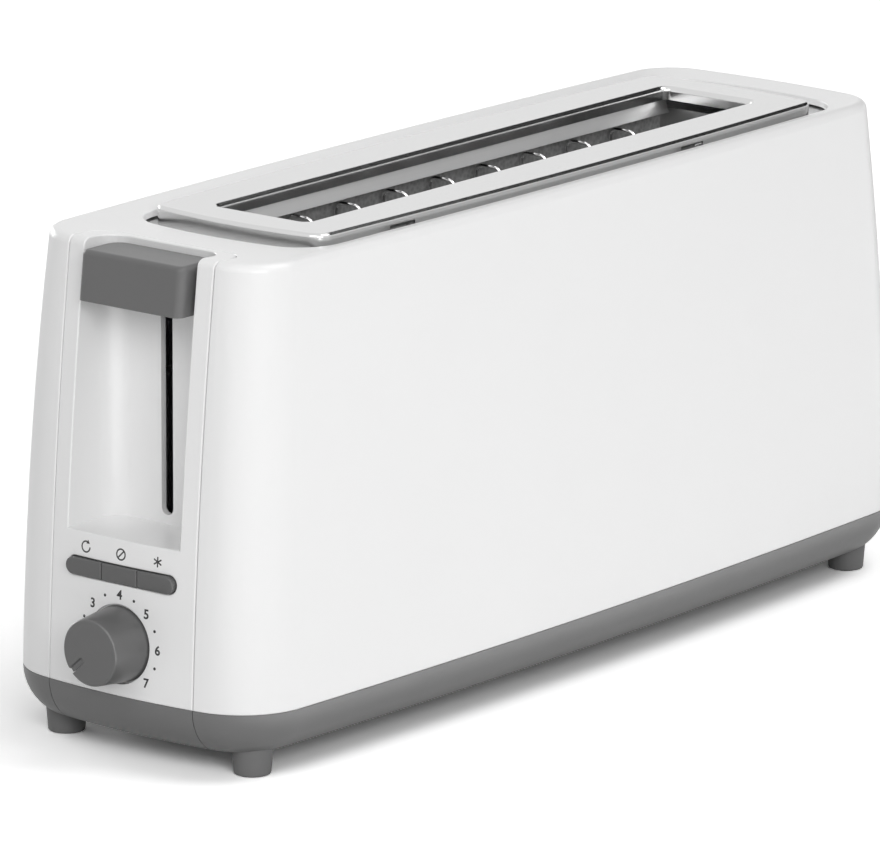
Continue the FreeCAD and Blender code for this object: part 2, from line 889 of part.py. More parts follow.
def guard_wires():
    """Upright wires that keep the bread off the heater and hook over at the top (near side)."""
    low = foot_height + wire_bottom_rise
    top = case_height - wire_top_drop
    inner = -wire_offset
    outer = -wire_hook_offset
    cut = wire_bend * (1 - math.sqrt(0.5))
    path = Part.Wire([
        Part.makeLine(vector(0, inner, low), vector(0, inner, top - wire_bend)),
        Part.Arc(vector(0, inner, top - wire_bend), vector(0, inner - cut, top - cut),
                 vector(0, inner - wire_bend, top)).toShape(),
        Part.makeLine(vector(0, inner - wire_bend, top), vector(0, outer + wire_bend, top)),
        Part.Arc(vector(0, outer + wire_bend, top), vector(0, outer + cut, top - cut),
                 vector(0, outer, top - wire_bend)).toShape(),
        Part.makeLine(vector(0, outer, top - wire_bend), vector(0, outer, top - wire_hook_length)),
    ])
    section = Part.Wire([Part.makeCircle(wire_radius, vector(0, inner, low), vector(0, 0, 1))])
    wire = path.makePipeShell([section], True, False)
    shapes = []
    for i in range(wire_count):
        copy = wire.copy()
        copy.translate(vector(slot_front + wire_first_margin + i * wire_pitch, 0, 0))
        shapes.append(copy)
    rail_y = inner - rail_radius - wire_radius / 2
    for z in (foot_height + rail_low_rise, case_height - rail_high_drop):
        shapes.append(lengthwise(chamber_front, chamber_rear, rail_y, z, rail_radius))
    return joined(shapes)


def rack_fingers():
    """Cross fingers in notches of the rack's bar, each midway between two pairs of wires."""
    half = rack_finger_width / 2
    reach = rack_finger_length / 2
    fingers = []
    for i in range(wire_count - 1):
        x = slot_front + wire_first_margin + (i + 0.5) * wire_pitch
        fingers.append(box(x - half, x + half, -reach, reach, rack_top - rack_finger_height, rack_top))
    return Part.makeCompound(fingers)


def bread_rack():
    """Bar in the middle of the chamber that carries the bread on its fingers."""
    half = rack_bar_thickness / 2
    bar = box(bracket_rear, chamber_rear + chamber_sheet + rack_tail, -half, half, rack_bottom, rack_top)
    return bar.cut(rack_fingers())


def carriage_bracket():
    """Upright plate that slides on the guide rod and reaches out to the lever's handle."""
    half = bracket_thickness / 2
    plate = box(bracket_front, bracket_rear, -half, half, rack_bottom, arm_top)
    arm = box(recess_back - handle_gap - arm_grip, bracket_front, -half, half, arm_bottom, arm_top)
    shapes = [plate, arm]
    for drop in (eye_high_drop, eye_low_drop):
        z = case_height - drop
        shapes.append(box(guide_rod_x - eye_size / 2, guide_rod_x + eye_size / 2, 0,
                          guide_rod_offset + eye_size / 2, z, z + eye_sheet))
    latch_z = latch_plate_bottom() + latch_thickness
    shapes.append(box(guide_rod_x - magnet_length / 2, guide_rod_x + magnet_length / 2,
                      -magnet_offset - magnet_width / 2, 0, latch_z, latch_z + latch_sheet))
    hole = upright(guide_rod_x, guide_rod_offset, 0, case_height, guide_rod_radius + guide_rod_clearance)
    return joined(shapes).cut(hole)


def latch_plate_bottom():
    """Height of the latch plate's underside with the lever up."""
    return tab_low_top + magnet_height + latch_gap + lever_travel


def latch_plate():
    """Steel plate that the magnet holds while the bread toasts."""
    z = latch_plate_bottom()
    return box(guide_rod_x - magnet_length / 2, guide_rod_x + magnet_length / 2,
               -magnet_offset - magnet_width / 2, -magnet_offset + magnet_width / 2,
               z, z + latch_thickness)


def magnet_core():
    """E-shaped iron core of the holding magnet."""
    x0 = guide_rod_x - magnet_length / 2
    x1 = guide_rod_x + magnet_length / 2
    y = -magnet_offset
    half = magnet_width / 2
    z0 = tab_low_top
    z1 = tab_low_top + magnet_height
    yoke = box(x0, x1, y - half, y + half, z0, z0 + magnet_yoke)
    poles = [(y - half, y - half + magnet_pole), (y + half - magnet_pole, y + half),
             (y - magnet_middle_pole / 2, y + magnet_middle_pole / 2)]
    return joined([yoke] + [box(x0, x1, y0, y1, z0, z1) for y0, y1 in poles])


def magnet_coil():
    """Winding body round the middle pole."""
    x0 = guide_rod_x - magnet_length / 2
    x1 = guide_rod_x + magnet_length / 2
    y = -magnet_offset
    outer = magnet_width / 2 - magnet_pole - coil_gap
    low = tab_low_top + magnet_yoke + coil_gap
    high = tab_low_top + magnet_height - coil_top_gap
    block = box(x0 - coil_overhang, x1 + coil_overhang, y - outer, y + outer, low, high)
    half = magnet_middle_pole / 2 + coil_gap / 2
    return block.cut(box(x0 - coil_gap / 2, x1 + coil_gap / 2, y - half, y + half, 0, case_height))


def guide_rod():
    """Upright rod between the two tabs."""
    return upright(guide_rod_x, guide_rod_offset, tab_low_top, tab_high_bottom, guide_rod_radius)


def lift_spring():
    """Coil spring round the guide rod that pushes the carriage up."""
    low = tab_low_top + spring_wire / 2 + spring_end_gap
    high = case_height - eye_low_drop - spring_wire / 2 - spring_end_gap
    pitch = (high - low) / spring_turns
    helix = Part.makeHelix(pitch, high - low, spring_radius)
    start = Part.makeCircle(spring_wire / 2, vector(spring_radius, 0, 0),
                            vector(0, spring_radius * 2 * math.pi, pitch))
    coil = Part.Wire(helix).makePipeShell([Part.Wire([start])], True, True)
    coil.translate(vector(guide_rod_x, guide_rod_offset, low))
    return coil


def leaning_block(proud, half, corner, z0, z1):
    """A block as deep as the recess, with a front that leans in as the case does."""
    rear = recess_back - handle_gap
    low = -case_end(z0) - proud
    high = -case_end(z1) - proud
    corners = [(low, z0), (rear, z0), (rear, z1), (high, z1)]
    outline = Part.makePolygon([vector(x, -half, z) for x, z in corners + corners[:1]])
    slab = Part.Face(outline).extrude(vector(0, 2 * half, 0))
    return slab.common(rounded_block(low - outside, rear, half, corner, z0, z1))


def lever_handle():
    """Grey handle: a block as deep as the recess, hollow from below, with a rib for the arm."""
    front = -case_end(handle_top) - handle_proud
    rear = recess_back - handle_gap
    half = handle_width / 2
    block = leaning_block(handle_proud, half, handle_corner, handle_bottom, handle_top)
    tall = handle_height / 2
    sides = [e for e in block.Edges if e.BoundBox.XMin < front + 1 and e.BoundBox.ZLength > tall]
    block = rolled(block, handle_round, sides)
    rim = [e for e in block.Edges if e.BoundBox.ZMin > handle_top - 1 and e.BoundBox.XMin < front + 1]
    block = rolled(block, handle_top_round, rim)
    inner = half - handle_wall
    cavity = rounded_block(front - outside, rear - handle_wall, inner, handle_corner - handle_wall,
                           handle_bottom - 1, handle_top - handle_wall)
    cavity = cavity.common(box(front + handle_wall, rear, -inner, inner, 0, handle_top))
    rib = box(front, rear, -handle_rib / 2, handle_rib / 2, handle_bottom, handle_top)
    arm_space = box(rear - arm_grip, recess_back, -bracket_thickness / 2, bracket_thickness / 2,
                    arm_bottom, arm_top)
    return block.cut(cavity.cut(rib)).cut(arm_space)


def button(index):
    """One of the three buttons, with its flange behind the panel and its stem."""
    pill_width = window_width - 2 * button_gap
    segment = pill_width / button_count
    y0 = -pill_width / 2 + index * segment + (button_gap / 2 if index else 0)
    y1 = -pill_width / 2 + (index + 1) * segment - (button_gap / 2 if index < button_count - 1 else 0)
    front = -case_end(button_height) - button_proud
    flange_front = -case_end(button_height) + case_wall + end_bow + button_gap
    flange_rear = flange_front + button_flange
    bar = pill_bar(front, flange_front, pill_width, window_height - 2 * button_gap, button_height)
    face = bar.common(box(front, flange_front, y0, y1, 0, case_height))
    half = window_height / 2 + flange_margin
    flange = box(flange_front, flange_rear, y0, y1, button_height - half, button_height + half)
    stem_end = board_front - switch_body - switch_plunger - button_travel - button_gap
    middle = button_middle(index)
    stem = box(flange_rear, stem_end, middle - button_stem_width / 2, middle + button_stem_width / 2,
               button_height - button_stem_height / 2, button_height + button_stem_height / 2)
    return joined([face, flange, stem])


def button_middle(index):
    """Where a button's middle lies across the panel."""
    segment = (window_width - 2 * button_gap) / button_count
    return (index - (button_count - 1) / 2) * segment


def tact_switches():
    """Three small switches on the board, one behind each button."""
    switches = []
    for index in range(button_count):
        y = button_middle(index)
        half = switch_size / 2
        body = box(board_front - switch_body, board_front, y - half, y + half,
                   button_height - half, button_height + half)
        plunger = lengthwise(board_front - switch_body - switch_plunger, board_front, y, button_height,
                             switch_plunger_radius)
        switches.append(joined([body, plunger]))
    return Part.makeCompound(switches)


def circuit_board():
    """The upright control board."""
    board = box(board_front, board_front + board_thickness, -board_width / 2, board_width / 2,
                split_height + board_bottom_gap, recess_floor - recess_wall - board_top_gap)
    return without(board, board_screw_bars(board_front - 1, board_front + board_thickness + 1,
                                           screw_shank_radius))


def board_screws():
    """Four screws that hold the board on its posts."""
    rear = board_front + board_thickness
    shanks = board_screw_bars(board_front - board_screw_length, rear, screw_shank_radius)
    heads = board_screw_bars(rear, rear + screw_head_height, screw_head_radius)
    return Part.makeCompound([joined([shank, head]) for shank, head in zip(shanks, heads)])


def timer_body():
    """Browning control on the board, with a bushing round its shaft."""
    half = timer_size / 2
    case = box(board_front - timer_depth, board_front, -half, half,
               knob_height - half, knob_height + half)
    bushing = lengthwise(knob_seat_floor() + bushing_clearance, board_front, 0, knob_height,
                         bushing_radius)
    bore = lengthwise(knob_seat_floor(), board_front - timer_depth / 2, 0, knob_height,
                      shaft_radius + shaft_clearance)
    return joined([case, bushing]).cut(bore)


def knob_base():
    """Where the knob's base lies on X."""
    return knob_seat_floor() - knob_float


def timer_shaft():
    """Shaft from the browning control into the knob."""
    return lengthwise(knob_base() - shaft_engagement, board_front - timer_depth / 2 - knob_float,
                      0, knob_height, shaft_radius)


def browning_knob():
    """Hollow round knob with a pointer groove on its face."""
    base = knob_base()
    face = base - knob_length
    body = Part.makeCone(knob_base_radius, knob_face_radius, knob_length, vector(base, 0, knob_height),
                         vector(-1, 0, 0))
    edges = [e for e in body.Edges if e.BoundBox.XMax < face + knob_edge / 2]
    body = body.makeFillet(knob_edge, edges)
    cavity = Part.makeCone(knob_base_radius - knob_wall, knob_face_radius - knob_wall,
                           knob_length - knob_wall, vector(base, 0, knob_height), vector(-1, 0, 0))
    hub = lengthwise(face + knob_wall, base, 0, knob_height, knob_hub_radius)
    bore = lengthwise(base - shaft_engagement, base, 0, knob_height, shaft_radius)
    groove = box(face - 1, face + pointer_depth, -pointer_width / 2, pointer_width / 2,
                 pointer_start, pointer_start + pointer_length)
    groove.rotate(vector(0, 0, 0), vector(1, 0, 0), -pointer_angle)
    groove.translate(vector(0, 0, knob_height))
    return without(body, [cavity.cut(hub), bore, groove])


def crumb_tray():
    """Shallow steel tray under the chamber."""
    x0 = chamber_front + tray_front_clearance
    x1 = half_length - skirt_inset - skirt_seam_depth + tray_gap
    z0 = floor_top + tray_lift
    tray = box(x0, x1, -tray_half_width, tray_half_width, z0, z0 + tray_depth)
    inside = box(x0 + tray_sheet, x1 - tray_sheet, -tray_half_width + tray_sheet,
                 tray_half_width - tray_sheet, z0 + tray_sheet, z0 + tray_depth + 1)
    return tray.cut(inside)


def crumb_tray_front(pan):
    """The piece of the skirt at the rear that the tray is pulled out by."""
    skin = pan.common(tray_front_zone(tray_gap))
    x0 = half_length - skirt_inset - skirt_seam_depth + tray_gap
    block = box(x0, half_length, -tray_block_half_width, tray_block_half_width,
                floor_top - base_floor / 2, floor_top + tray_lift + tray_depth)
    return joined([skin, block.common(skirt_form(foot_height, base_wall / 2))])


def cord_gland(form):
    """Rubber bush in the rear wall that the mains cord comes out of."""
    z = split_height + gland_rise
    wall = case_end(z)
    tube = lengthwise(wall - gland_depth, wall + gland_reach, 0, z, gland_radius)
    flange = lengthwise(wall - case_wall, wall + gland_flange_reach, 0, z, gland_flange_radius).cut(form)
    return joined([tube, flange]).cut(lengthwise(0, half_length + outside, 0, z, gland_bore))


def terminal_block():
    """Block on the rear end plate where the mains cord's wires are clamped."""
    x0 = chamber_rear + chamber_sheet
    z0 = split_height + terminal_rise
    return box(x0, x0 + terminal_depth, terminal_offset - terminal_length / 2,
               terminal_offset + terminal_length / 2, z0, z0 + terminal_height)


def frame_shift():
    """How far everything moves on X so that the whole object's middle is at X = 0."""
    front_reach = -(knob_base() - knob_length)
    rear_reach = case_end(split_height + gland_rise) + gland_reach
    return (front_reach - rear_reach) / 2


def save(shape, name):
    """Move a node into the shared frame and write it."""
    placed = shape.copy()
    placed.translate(vector(frame_shift(), 0, 0))
    placed.exportStep("parts/" + name + ".step")
    print(name, len(placed.Solids), "solids", round(placed.Volume, 1), "mm3", placed.isValid())


def build():
    """Every node by name."""
    form = case_form()
    walls = case_walls(form)
    pan = base_skirt()
    nodes = {
        "body_shell": body_shell(form, walls),
        "front_panel": front_panel(form, walls),
        "base_pan": base_pan(pan),
        "front_skirt": pan.common(front_skirt_zone(0)),
        "feet": feet(),
        "base_screws": base_screws(),
        "top_plate": top_plate(),
        "slot_guide_near": guide_strip(),
        "slot_guide_far": far_side(guide_strip()),
        "chamber_front_plate": chamber_front_plate(),
        "chamber_rear_plate": chamber_rear_plate(),
        "reflector_near": reflector(),
        "reflector_far": far_side(reflector()),
        "heater_board_near": heater_board(),
        "heater_board_far": far_side(heater_board()),
        "heater_winding_near": heater_winding(),
        "heater_winding_far": far_side(heater_winding()),
        "guard_wires_near": guard_wires(),
        "guard_wires_far": far_side(guard_wires()),
        "bread_rack": bread_rack(),
        "rack_fingers": rack_fingers(),
        "carriage_bracket": carriage_bracket(),
        "latch_plate": latch_plate(),
        "magnet_core": magnet_core(),
        "magnet_coil": magnet_coil(),
        "guide_rod": guide_rod(),
        "lift_spring": lift_spring(),
        "lever_handle": lever_handle(),
        "reheat_button": button(2),
        "cancel_button": button(1),
        "defrost_button": button(0),
        "tact_switches": tact_switches(),
        "circuit_board": circuit_board(),
        "board_screws": board_screws(),
        "timer_body": timer_body(),
        "timer_shaft": timer_shaft(),
        "browning_knob": browning_knob(),
        "crumb_tray": crumb_tray(),
        "crumb_tray_front": crumb_tray_front(pan),
        "cord_gland": cord_gland(form),
        "terminal_block": terminal_block(),
    }
    return nodes


os.makedirs("parts", exist_ok=True)
for node, solid in build().items():
    save(solid, node)
print("frame shift", round(frame_shift(), 3), "lever travel", lever_travel)
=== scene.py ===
"""Looks of a long slot toaster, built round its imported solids. Metres, Z up, feet on Z = 0.

The control end with the lever is at -X and the slot runs along X. The photograph looks at the long
side at -Y from the control end, slightly from above.
"""
import logging
import math
from dataclasses import dataclass
from enum import Enum
from typing import Any, Sequence

import bmesh
import bpy
import numpy as np
from mathutils import Matrix, Vector


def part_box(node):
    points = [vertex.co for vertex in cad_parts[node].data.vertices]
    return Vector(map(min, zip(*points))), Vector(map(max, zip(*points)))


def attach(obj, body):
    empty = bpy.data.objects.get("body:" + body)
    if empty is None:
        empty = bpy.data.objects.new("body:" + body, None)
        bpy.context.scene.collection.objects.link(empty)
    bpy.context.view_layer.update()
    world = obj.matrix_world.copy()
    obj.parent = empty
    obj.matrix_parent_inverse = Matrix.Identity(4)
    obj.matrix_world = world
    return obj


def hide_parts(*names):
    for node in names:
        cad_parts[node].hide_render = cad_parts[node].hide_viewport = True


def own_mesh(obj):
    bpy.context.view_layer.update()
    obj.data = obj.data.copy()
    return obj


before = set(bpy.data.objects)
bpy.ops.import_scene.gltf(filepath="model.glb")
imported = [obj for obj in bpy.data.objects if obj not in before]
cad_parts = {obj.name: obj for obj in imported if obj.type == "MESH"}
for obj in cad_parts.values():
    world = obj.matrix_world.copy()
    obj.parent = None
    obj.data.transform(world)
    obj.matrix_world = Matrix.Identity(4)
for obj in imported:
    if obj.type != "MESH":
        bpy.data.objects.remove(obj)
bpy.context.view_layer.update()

MM = 0.001
ROOT_BODY = "toaster"

SHARP_ANGLE = math.radians(38.0)
MERGE_DISTANCE = 0.001 * MM
STUDIO_MIDDLE = Vector((0.0, 0.0, 0.1))
SQUARE = ((-1, -1), (1, -1), (1, 1), (-1, 1))

log = logging.getLogger("toaster")

Array = np.ndarray


class Maths:
    """A shader value that takes part in Python arithmetic by adding Math nodes."""

    def __init__(self, shader: "Shader", socket: Any) -> None:
        """Keeps the node tree's builder and the socket that carries the value."""
        self.shader = shader
        self.socket = socket

    def _join(self, operation: str, first: Any, second: Any) -> "Maths":
        """One Math node on two values."""
        return self.shader.value("ShaderNodeMath", {"operation": operation}, {0: first, 1: second})

    def __add__(self, other: Any) -> "Maths":
        """self + other."""
        return self._join("ADD", self, other)

    def __radd__(self, other: Any) -> "Maths":
        """other + self."""
        return self._join("ADD", other, self)

    def __sub__(self, other: Any) -> "Maths":
        """self - other."""
        return self._join("SUBTRACT", self, other)

    def __rsub__(self, other: Any) -> "Maths":
        """other - self."""
        return self._join("SUBTRACT", other, self)

    def __mul__(self, other: Any) -> "Maths":
        """self * other."""
        return self._join("MULTIPLY", self, other)

    def __rmul__(self, other: Any) -> "Maths":
        """other * self."""
        return self._join("MULTIPLY", other, self)

    def most(self, other: Any) -> "Maths":
        """The larger of two values."""
        return self._join("MAXIMUM", self, other)

    def clamped(self) -> "Maths":
        """The value held between 0 and 1."""
        return self.shader.value("ShaderNodeClamp", {}, {0: self})


class Shader:
    """Builds one node tree: a material or the world."""

    def __init__(self, owner: Any) -> None:
        """Starts an empty tree on a material or world.

        Args:
            owner: the material or world that gets the tree.
        """
        owner.use_nodes = True
        self.owner = owner
        self.tree = owner.node_tree
        self.tree.nodes.clear()

    def node(self, kind: str, settings: dict[str, Any] | None = None,
             inputs: dict[Any, Any] | None = None) -> Any:
        """Adds a node, sets it up and feeds it.

        Args:
            kind: the node's type name.
            settings: its attributes, such as a Math node's operation, which are set first.
            inputs: values or links for its sockets, by name or number.
        Returns:
            The new node.
        """
        made = self.tree.nodes.new(kind)
        for name, value in (settings or {}).items():
            setattr(made, name, value)
        for key, value in (inputs or {}).items():
            self.feed(made.inputs[key], value)
        return made

    def feed(self, socket: Any, value: Any) -> None:
        """Links or sets one input socket.

        Args:
            socket: the input.
            value: a shader value, an output socket or a plain setting.
        """
        if isinstance(value, Maths):
            self.tree.links.new(value.socket, socket)
        elif isinstance(value, bpy.types.NodeSocket):
            self.tree.links.new(value, socket)
        else:
            socket.default_value = value

    def value(self, kind: str, settings: dict[str, Any], inputs: dict[Any, Any],
              output: Any = 0) -> Maths:
        """A node's output as a number that takes part in arithmetic."""
        return Maths(self, self.node(kind, settings, inputs).outputs[output])

    def place(self, stretch: Sequence[float] = (1.0, 1.0, 1.0)) -> Any:
        """Object coordinates, stretched along each axis.

        Args:
            stretch: the scale on X, Y and Z.
        Returns:
            The socket that carries them.
        """
        coordinates = self.node("ShaderNodeTexCoord")
        mapping = self.node("ShaderNodeMapping", {}, {
            "Vector": coordinates.outputs["Object"], "Scale": tuple(stretch)})
        return mapping.outputs["Vector"]

    def noise(self, scale: float, detail: float = 2.0,
              stretch: Sequence[float] = (1.0, 1.0, 1.0)) -> Maths:
        """Noise between 0 and 1 in object space, with a scale in waves per metre."""
        return self.value("ShaderNodeTexNoise", {}, {
            "Vector": self.place(stretch), "Scale": scale, "Detail": detail})

    def ray(self, kind: str) -> Maths:
        """1 on rays of one kind, such as "Is Camera Ray", and 0 on all others."""
        return self.value("ShaderNodeLightPath", {}, {}, kind)

    def between(self, factor: Any, low: Sequence[float], high: Sequence[float]) -> Any:
        """A colour between two colours."""
        mix = self.node("ShaderNodeMix", {"data_type": "RGBA"}, {
            0: factor, 6: (*low, 1.0), 7: (*high, 1.0)})
        return mix.outputs[2]

    def bump(self, height: Any, depth: float) -> Any:
        """A normal that follows a height field, with its depth in metres."""
        made = self.node("ShaderNodeBump", {}, {"Strength": 1.0, "Distance": depth, "Height": height})
        return made.outputs["Normal"]

    def finish(self, kind: str, shader_socket: Any) -> None:
        """Ends the tree in its output node."""
        end = self.node(kind)
        self.tree.links.new(shader_socket, end.inputs["Surface"])


def grey(level: float) -> tuple[float, float, float]:
    """A neutral colour."""
    return (level, level, level)


@dataclass(frozen=True)
class Finish:
    """A surface finish that makes its own material."""

    name: str
    colour: tuple[float, float, float]
    roughness: float

    def material(self) -> bpy.types.Material:
        """The finish's material, made once.

        Returns:
            The material, found by its name after the first time.
        """
        found = bpy.data.materials.get(self.name)
        if found:
            return found
        made = bpy.data.materials.new(self.name)
        shader = Shader(made)
        inputs = self.sockets(shader)
        surface = shader.node("ShaderNodeBsdfPrincipled", {}, inputs)
        shader.finish("ShaderNodeOutputMaterial", surface.outputs["BSDF"])
        made.diffuse_color = (*self.colour, 1.0)
        return made

    def sockets(self, shader: Shader) -> dict[str, Any]:
        """What feeds the Principled shader; each kind of finish says its own."""
        return {"Base Color": (*self.colour, 1.0), "Roughness": self.roughness}

    def toned(self, change: float) -> tuple[float, ...]:
        """The colour made lighter or darker by a share of itself."""
        return tuple(min(1.0, part * (1.0 + change)) for part in self.colour)


@dataclass(frozen=True)
class Moulded(Finish):
    """Moulded plastic: even colour, faint cloudiness and a fine grain in the gloss."""

    grain: float = 2600.0
    grain_depth: float = 0.000006
    cloud: float = 0.02
    cloud_scale: float = 28.0
    specular: float = 0.5
    least_rough: float = 0.9
    rough_swing: float = 0.2

    def sockets(self, shader: Shader) -> dict[str, Any]:
        """Colour clouds over centimetres, roughness and relief vary with the grain.

        Args:
            shader: the material's tree.
        Returns:
            Values and links by socket name.
        """
        cloud = shader.noise(self.cloud_scale)
        grain = shader.noise(self.grain)
        return {
            "Base Color": shader.between(cloud, self.toned(-self.cloud), self.toned(self.cloud)),
            "Roughness": self.roughness * (self.least_rough + self.rough_swing * grain),
            "Specular IOR Level": self.specular,
            "Normal": shader.bump(grain, self.grain_depth),
        }


@dataclass(frozen=True)
class Brushed(Finish):
    """Rolled or brushed metal: long fine lines along X that vary its gloss and relief."""

    line_scale: float = 900.0
    line_stretch: tuple[float, float, float] = (0.02, 1.0, 1.0)
    line_depth: float = 0.0000015
    stain: float = 0.06
    stain_scale: float = 18.0
    detail: float = 3.0
    least_rough: float = 0.75
    rough_swing: float = 0.5

    def sockets(self, shader: Shader) -> dict[str, Any]:
        """Lines change roughness and relief, wide soft stains change the tone.

        Args:
            shader: the material's tree.
        Returns:
            Values and links by socket name.
        """
        lines = shader.noise(self.line_scale, self.detail, self.line_stretch)
        stains = shader.noise(self.stain_scale, self.detail)
        return {
            "Base Color": shader.between(stains, self.toned(-self.stain), self.colour),
            "Metallic": 1.0,
            "Roughness": self.roughness * (self.least_rough + self.rough_swing * lines),
            "Normal": shader.bump(lines, self.line_depth),
        }


@dataclass(frozen=True)
class Mottled(Finish):
    """Pressed mica and boards: flakes that change the tone and stand slightly proud."""

    flake_scale: float = 260.0
    flake_depth: float = 0.00004
    contrast: float = 0.25
    flake_share: float = 0.6
    cloud_ratio: float = 0.4
    detail: float = 3.0
    least_rough: float = 0.85
    rough_swing: float = 0.3

    def sockets(self, shader: Shader) -> dict[str, Any]:
        """Flakes from a cell pattern, softened with noise.

        Args:
            shader: the material's tree.
        Returns:
            Values and links by socket name.
        """
        flakes = shader.value("ShaderNodeTexVoronoi", {}, {
            "Vector": shader.place(), "Scale": self.flake_scale}, "Distance")
        clouds = shader.noise(self.flake_scale * self.cloud_ratio, self.detail)
        blend = (self.flake_share * flakes + (1.0 - self.flake_share) * clouds).clamped()
        low = self.toned(-self.contrast)
        high = self.toned(self.contrast)
        return {
            "Base Color": shader.between(blend, low, high),
            "Roughness": self.roughness * (self.least_rough + self.rough_swing * blend),
            "Normal": shader.bump(blend, self.flake_depth),
        }


WHITE = Moulded("white_case_plastic", grey(0.88), 0.30, cloud=0.006)
GREY = Moulded("grey_trim_plastic", grey(0.145), 0.38, cloud=0.03, specular=0.7)
HANDLE_GREY = Moulded("grey_handle_plastic", grey(0.155), 0.36, cloud=0.03, specular=0.25)
KEY_GREY = Moulded("grey_key_plastic", grey(0.092), 0.35, cloud=0.03, specular=0.7)
FOOT = Moulded("grey_foot_rubber", grey(0.16), 0.62, grain=1500.0, grain_depth=0.00001)
KNOB_GREY = Moulded("grey_knob_plastic", grey(0.10), 0.34, cloud=0.03, specular=0.8)
PRINT = Moulded("dark_grey_print", grey(0.035), 0.55, cloud=0.04)
STEEL = Brushed("satin_plate_steel", grey(0.67), 0.20, line_scale=2400.0,
                line_stretch=(0.08, 1.0, 1.0), stain=0.04)
GUIDE = Brushed("guide_strip_steel", grey(0.72), 0.45)
ALUMINISED = Brushed("aluminised_sheet", grey(0.52), 0.42, line_scale=300.0,
                     line_stretch=(1.0, 1.0, 1.0))
WIRE = Brushed("bright_wire", grey(0.48), 0.26)
ZINC = Brushed("zinc_plated_steel", grey(0.55), 0.35)
SPRING = Brushed("oiled_spring_wire", grey(0.35), 0.30)
IRON = Brushed("magnet_iron", grey(0.25), 0.50)
MICA = Mottled("pressed_mica", grey(0.36), 0.60, flake_scale=620.0, contrast=0.5)
RIBBON = Brushed("heater_ribbon", grey(0.28), 0.45)
LACQUER = Moulded("coil_lacquer", (0.35, 0.12, 0.04), 0.25)
BLACK = Moulded("black_switch_plastic", grey(0.03), 0.40)
BOARD = Mottled("board_laminate", (0.10, 0.22, 0.08), 0.45, contrast=0.1)
RUBBER = Moulded("black_cord_rubber", grey(0.03), 0.60, grain=1500.0)
TERMINAL = Moulded("cream_terminal_plastic", (0.62, 0.58, 0.48), 0.45)

NODE_FINISHES = {
    WHITE: ("body_shell", "front_panel"),
    GREY: ("base_pan", "front_skirt", "crumb_tray_front"),
    HANDLE_GREY: ("lever_handle",),
    KNOB_GREY: ("browning_knob",),
    KEY_GREY: ("reheat_button", "cancel_button", "defrost_button"),
    FOOT: ("feet",),
    STEEL: ("top_plate",),
    GUIDE: ("slot_guide_near", "slot_guide_far"),
    ALUMINISED: ("chamber_front_plate", "chamber_rear_plate", "reflector_near", "reflector_far",
                 "crumb_tray"),
    WIRE: ("guard_wires_near", "guard_wires_far", "bread_rack", "rack_fingers"),
    ZINC: ("carriage_bracket", "latch_plate", "guide_rod", "timer_shaft", "base_screws",
           "board_screws"),
    SPRING: ("lift_spring",),
    IRON: ("magnet_core",),
    MICA: ("heater_board_near", "heater_board_far"),
    RIBBON: ("heater_winding_near", "heater_winding_far"),
    LACQUER: ("magnet_coil",),
    BLACK: ("tact_switches", "timer_body"),
    BOARD: ("circuit_board",),
    RUBBER: ("cord_gland",),
    TERMINAL: ("terminal_block",),
}


def dress(piece: bpy.types.Object, finish: Finish) -> None:
    """Gives a piece one material."""
    piece.data.materials.clear()
    piece.data.materials.append(finish.material())


def dress_cad_nodes() -> None:
    """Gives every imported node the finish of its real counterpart."""
    for finish, nodes in NODE_FINISHES.items():
        for node in nodes:
            dress(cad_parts[node], finish)
            log.info("node %s: %s", node, finish.name)


def new_object(name: str, data: Any) -> bpy.types.Object:
    """Puts a mesh, lamp or camera in the scene.

    Args:
        name: the object's name.
        data: what it shows.
    Returns:
        The object.
    """
    made = bpy.data.objects.new(name, data)
    bpy.context.scene.collection.objects.link(made)
    return made


def wrap_faces(rings: int, columns: int) -> Array:
    """Quads that join rings of points, each ring closed on itself.

    Args:
        rings: how many rings there are.
        columns: how many points each ring has.
    Returns:
        Four point numbers for each face.
    """
    ring, column = np.meshgrid(np.arange(rings - 1), np.arange(columns), indexing="ij")
    low = ring * columns
    high = low + columns
    following = (column + 1) % columns
    corners = (low + column, low + following, high + following, high + column)
    return np.stack(corners, axis=-1).reshape(-1, 4)


def fan_faces(pole: int, start: int, columns: int) -> Array:
    """Triangles from one point to a closed ring of points.

    Args:
        pole: the point's number.
        start: the number of the ring's first point.
        columns: how many points the ring has.
    Returns:
        Three point numbers for each face.
    """
    column = np.arange(columns)
    following = (column + 1) % columns
    return np.stack([np.full(columns, pole), start + column, start + following], axis=-1)


def arc(centre: Sequence[float], radius: float, start: float, end: float, count: int = 7) -> Array:
    """Points on a circle's arc between two angles in degrees."""
    turn = np.radians(np.linspace(start, end, count))
    return np.asarray(centre) + radius * np.stack([np.cos(turn), np.sin(turn)], axis=-1)


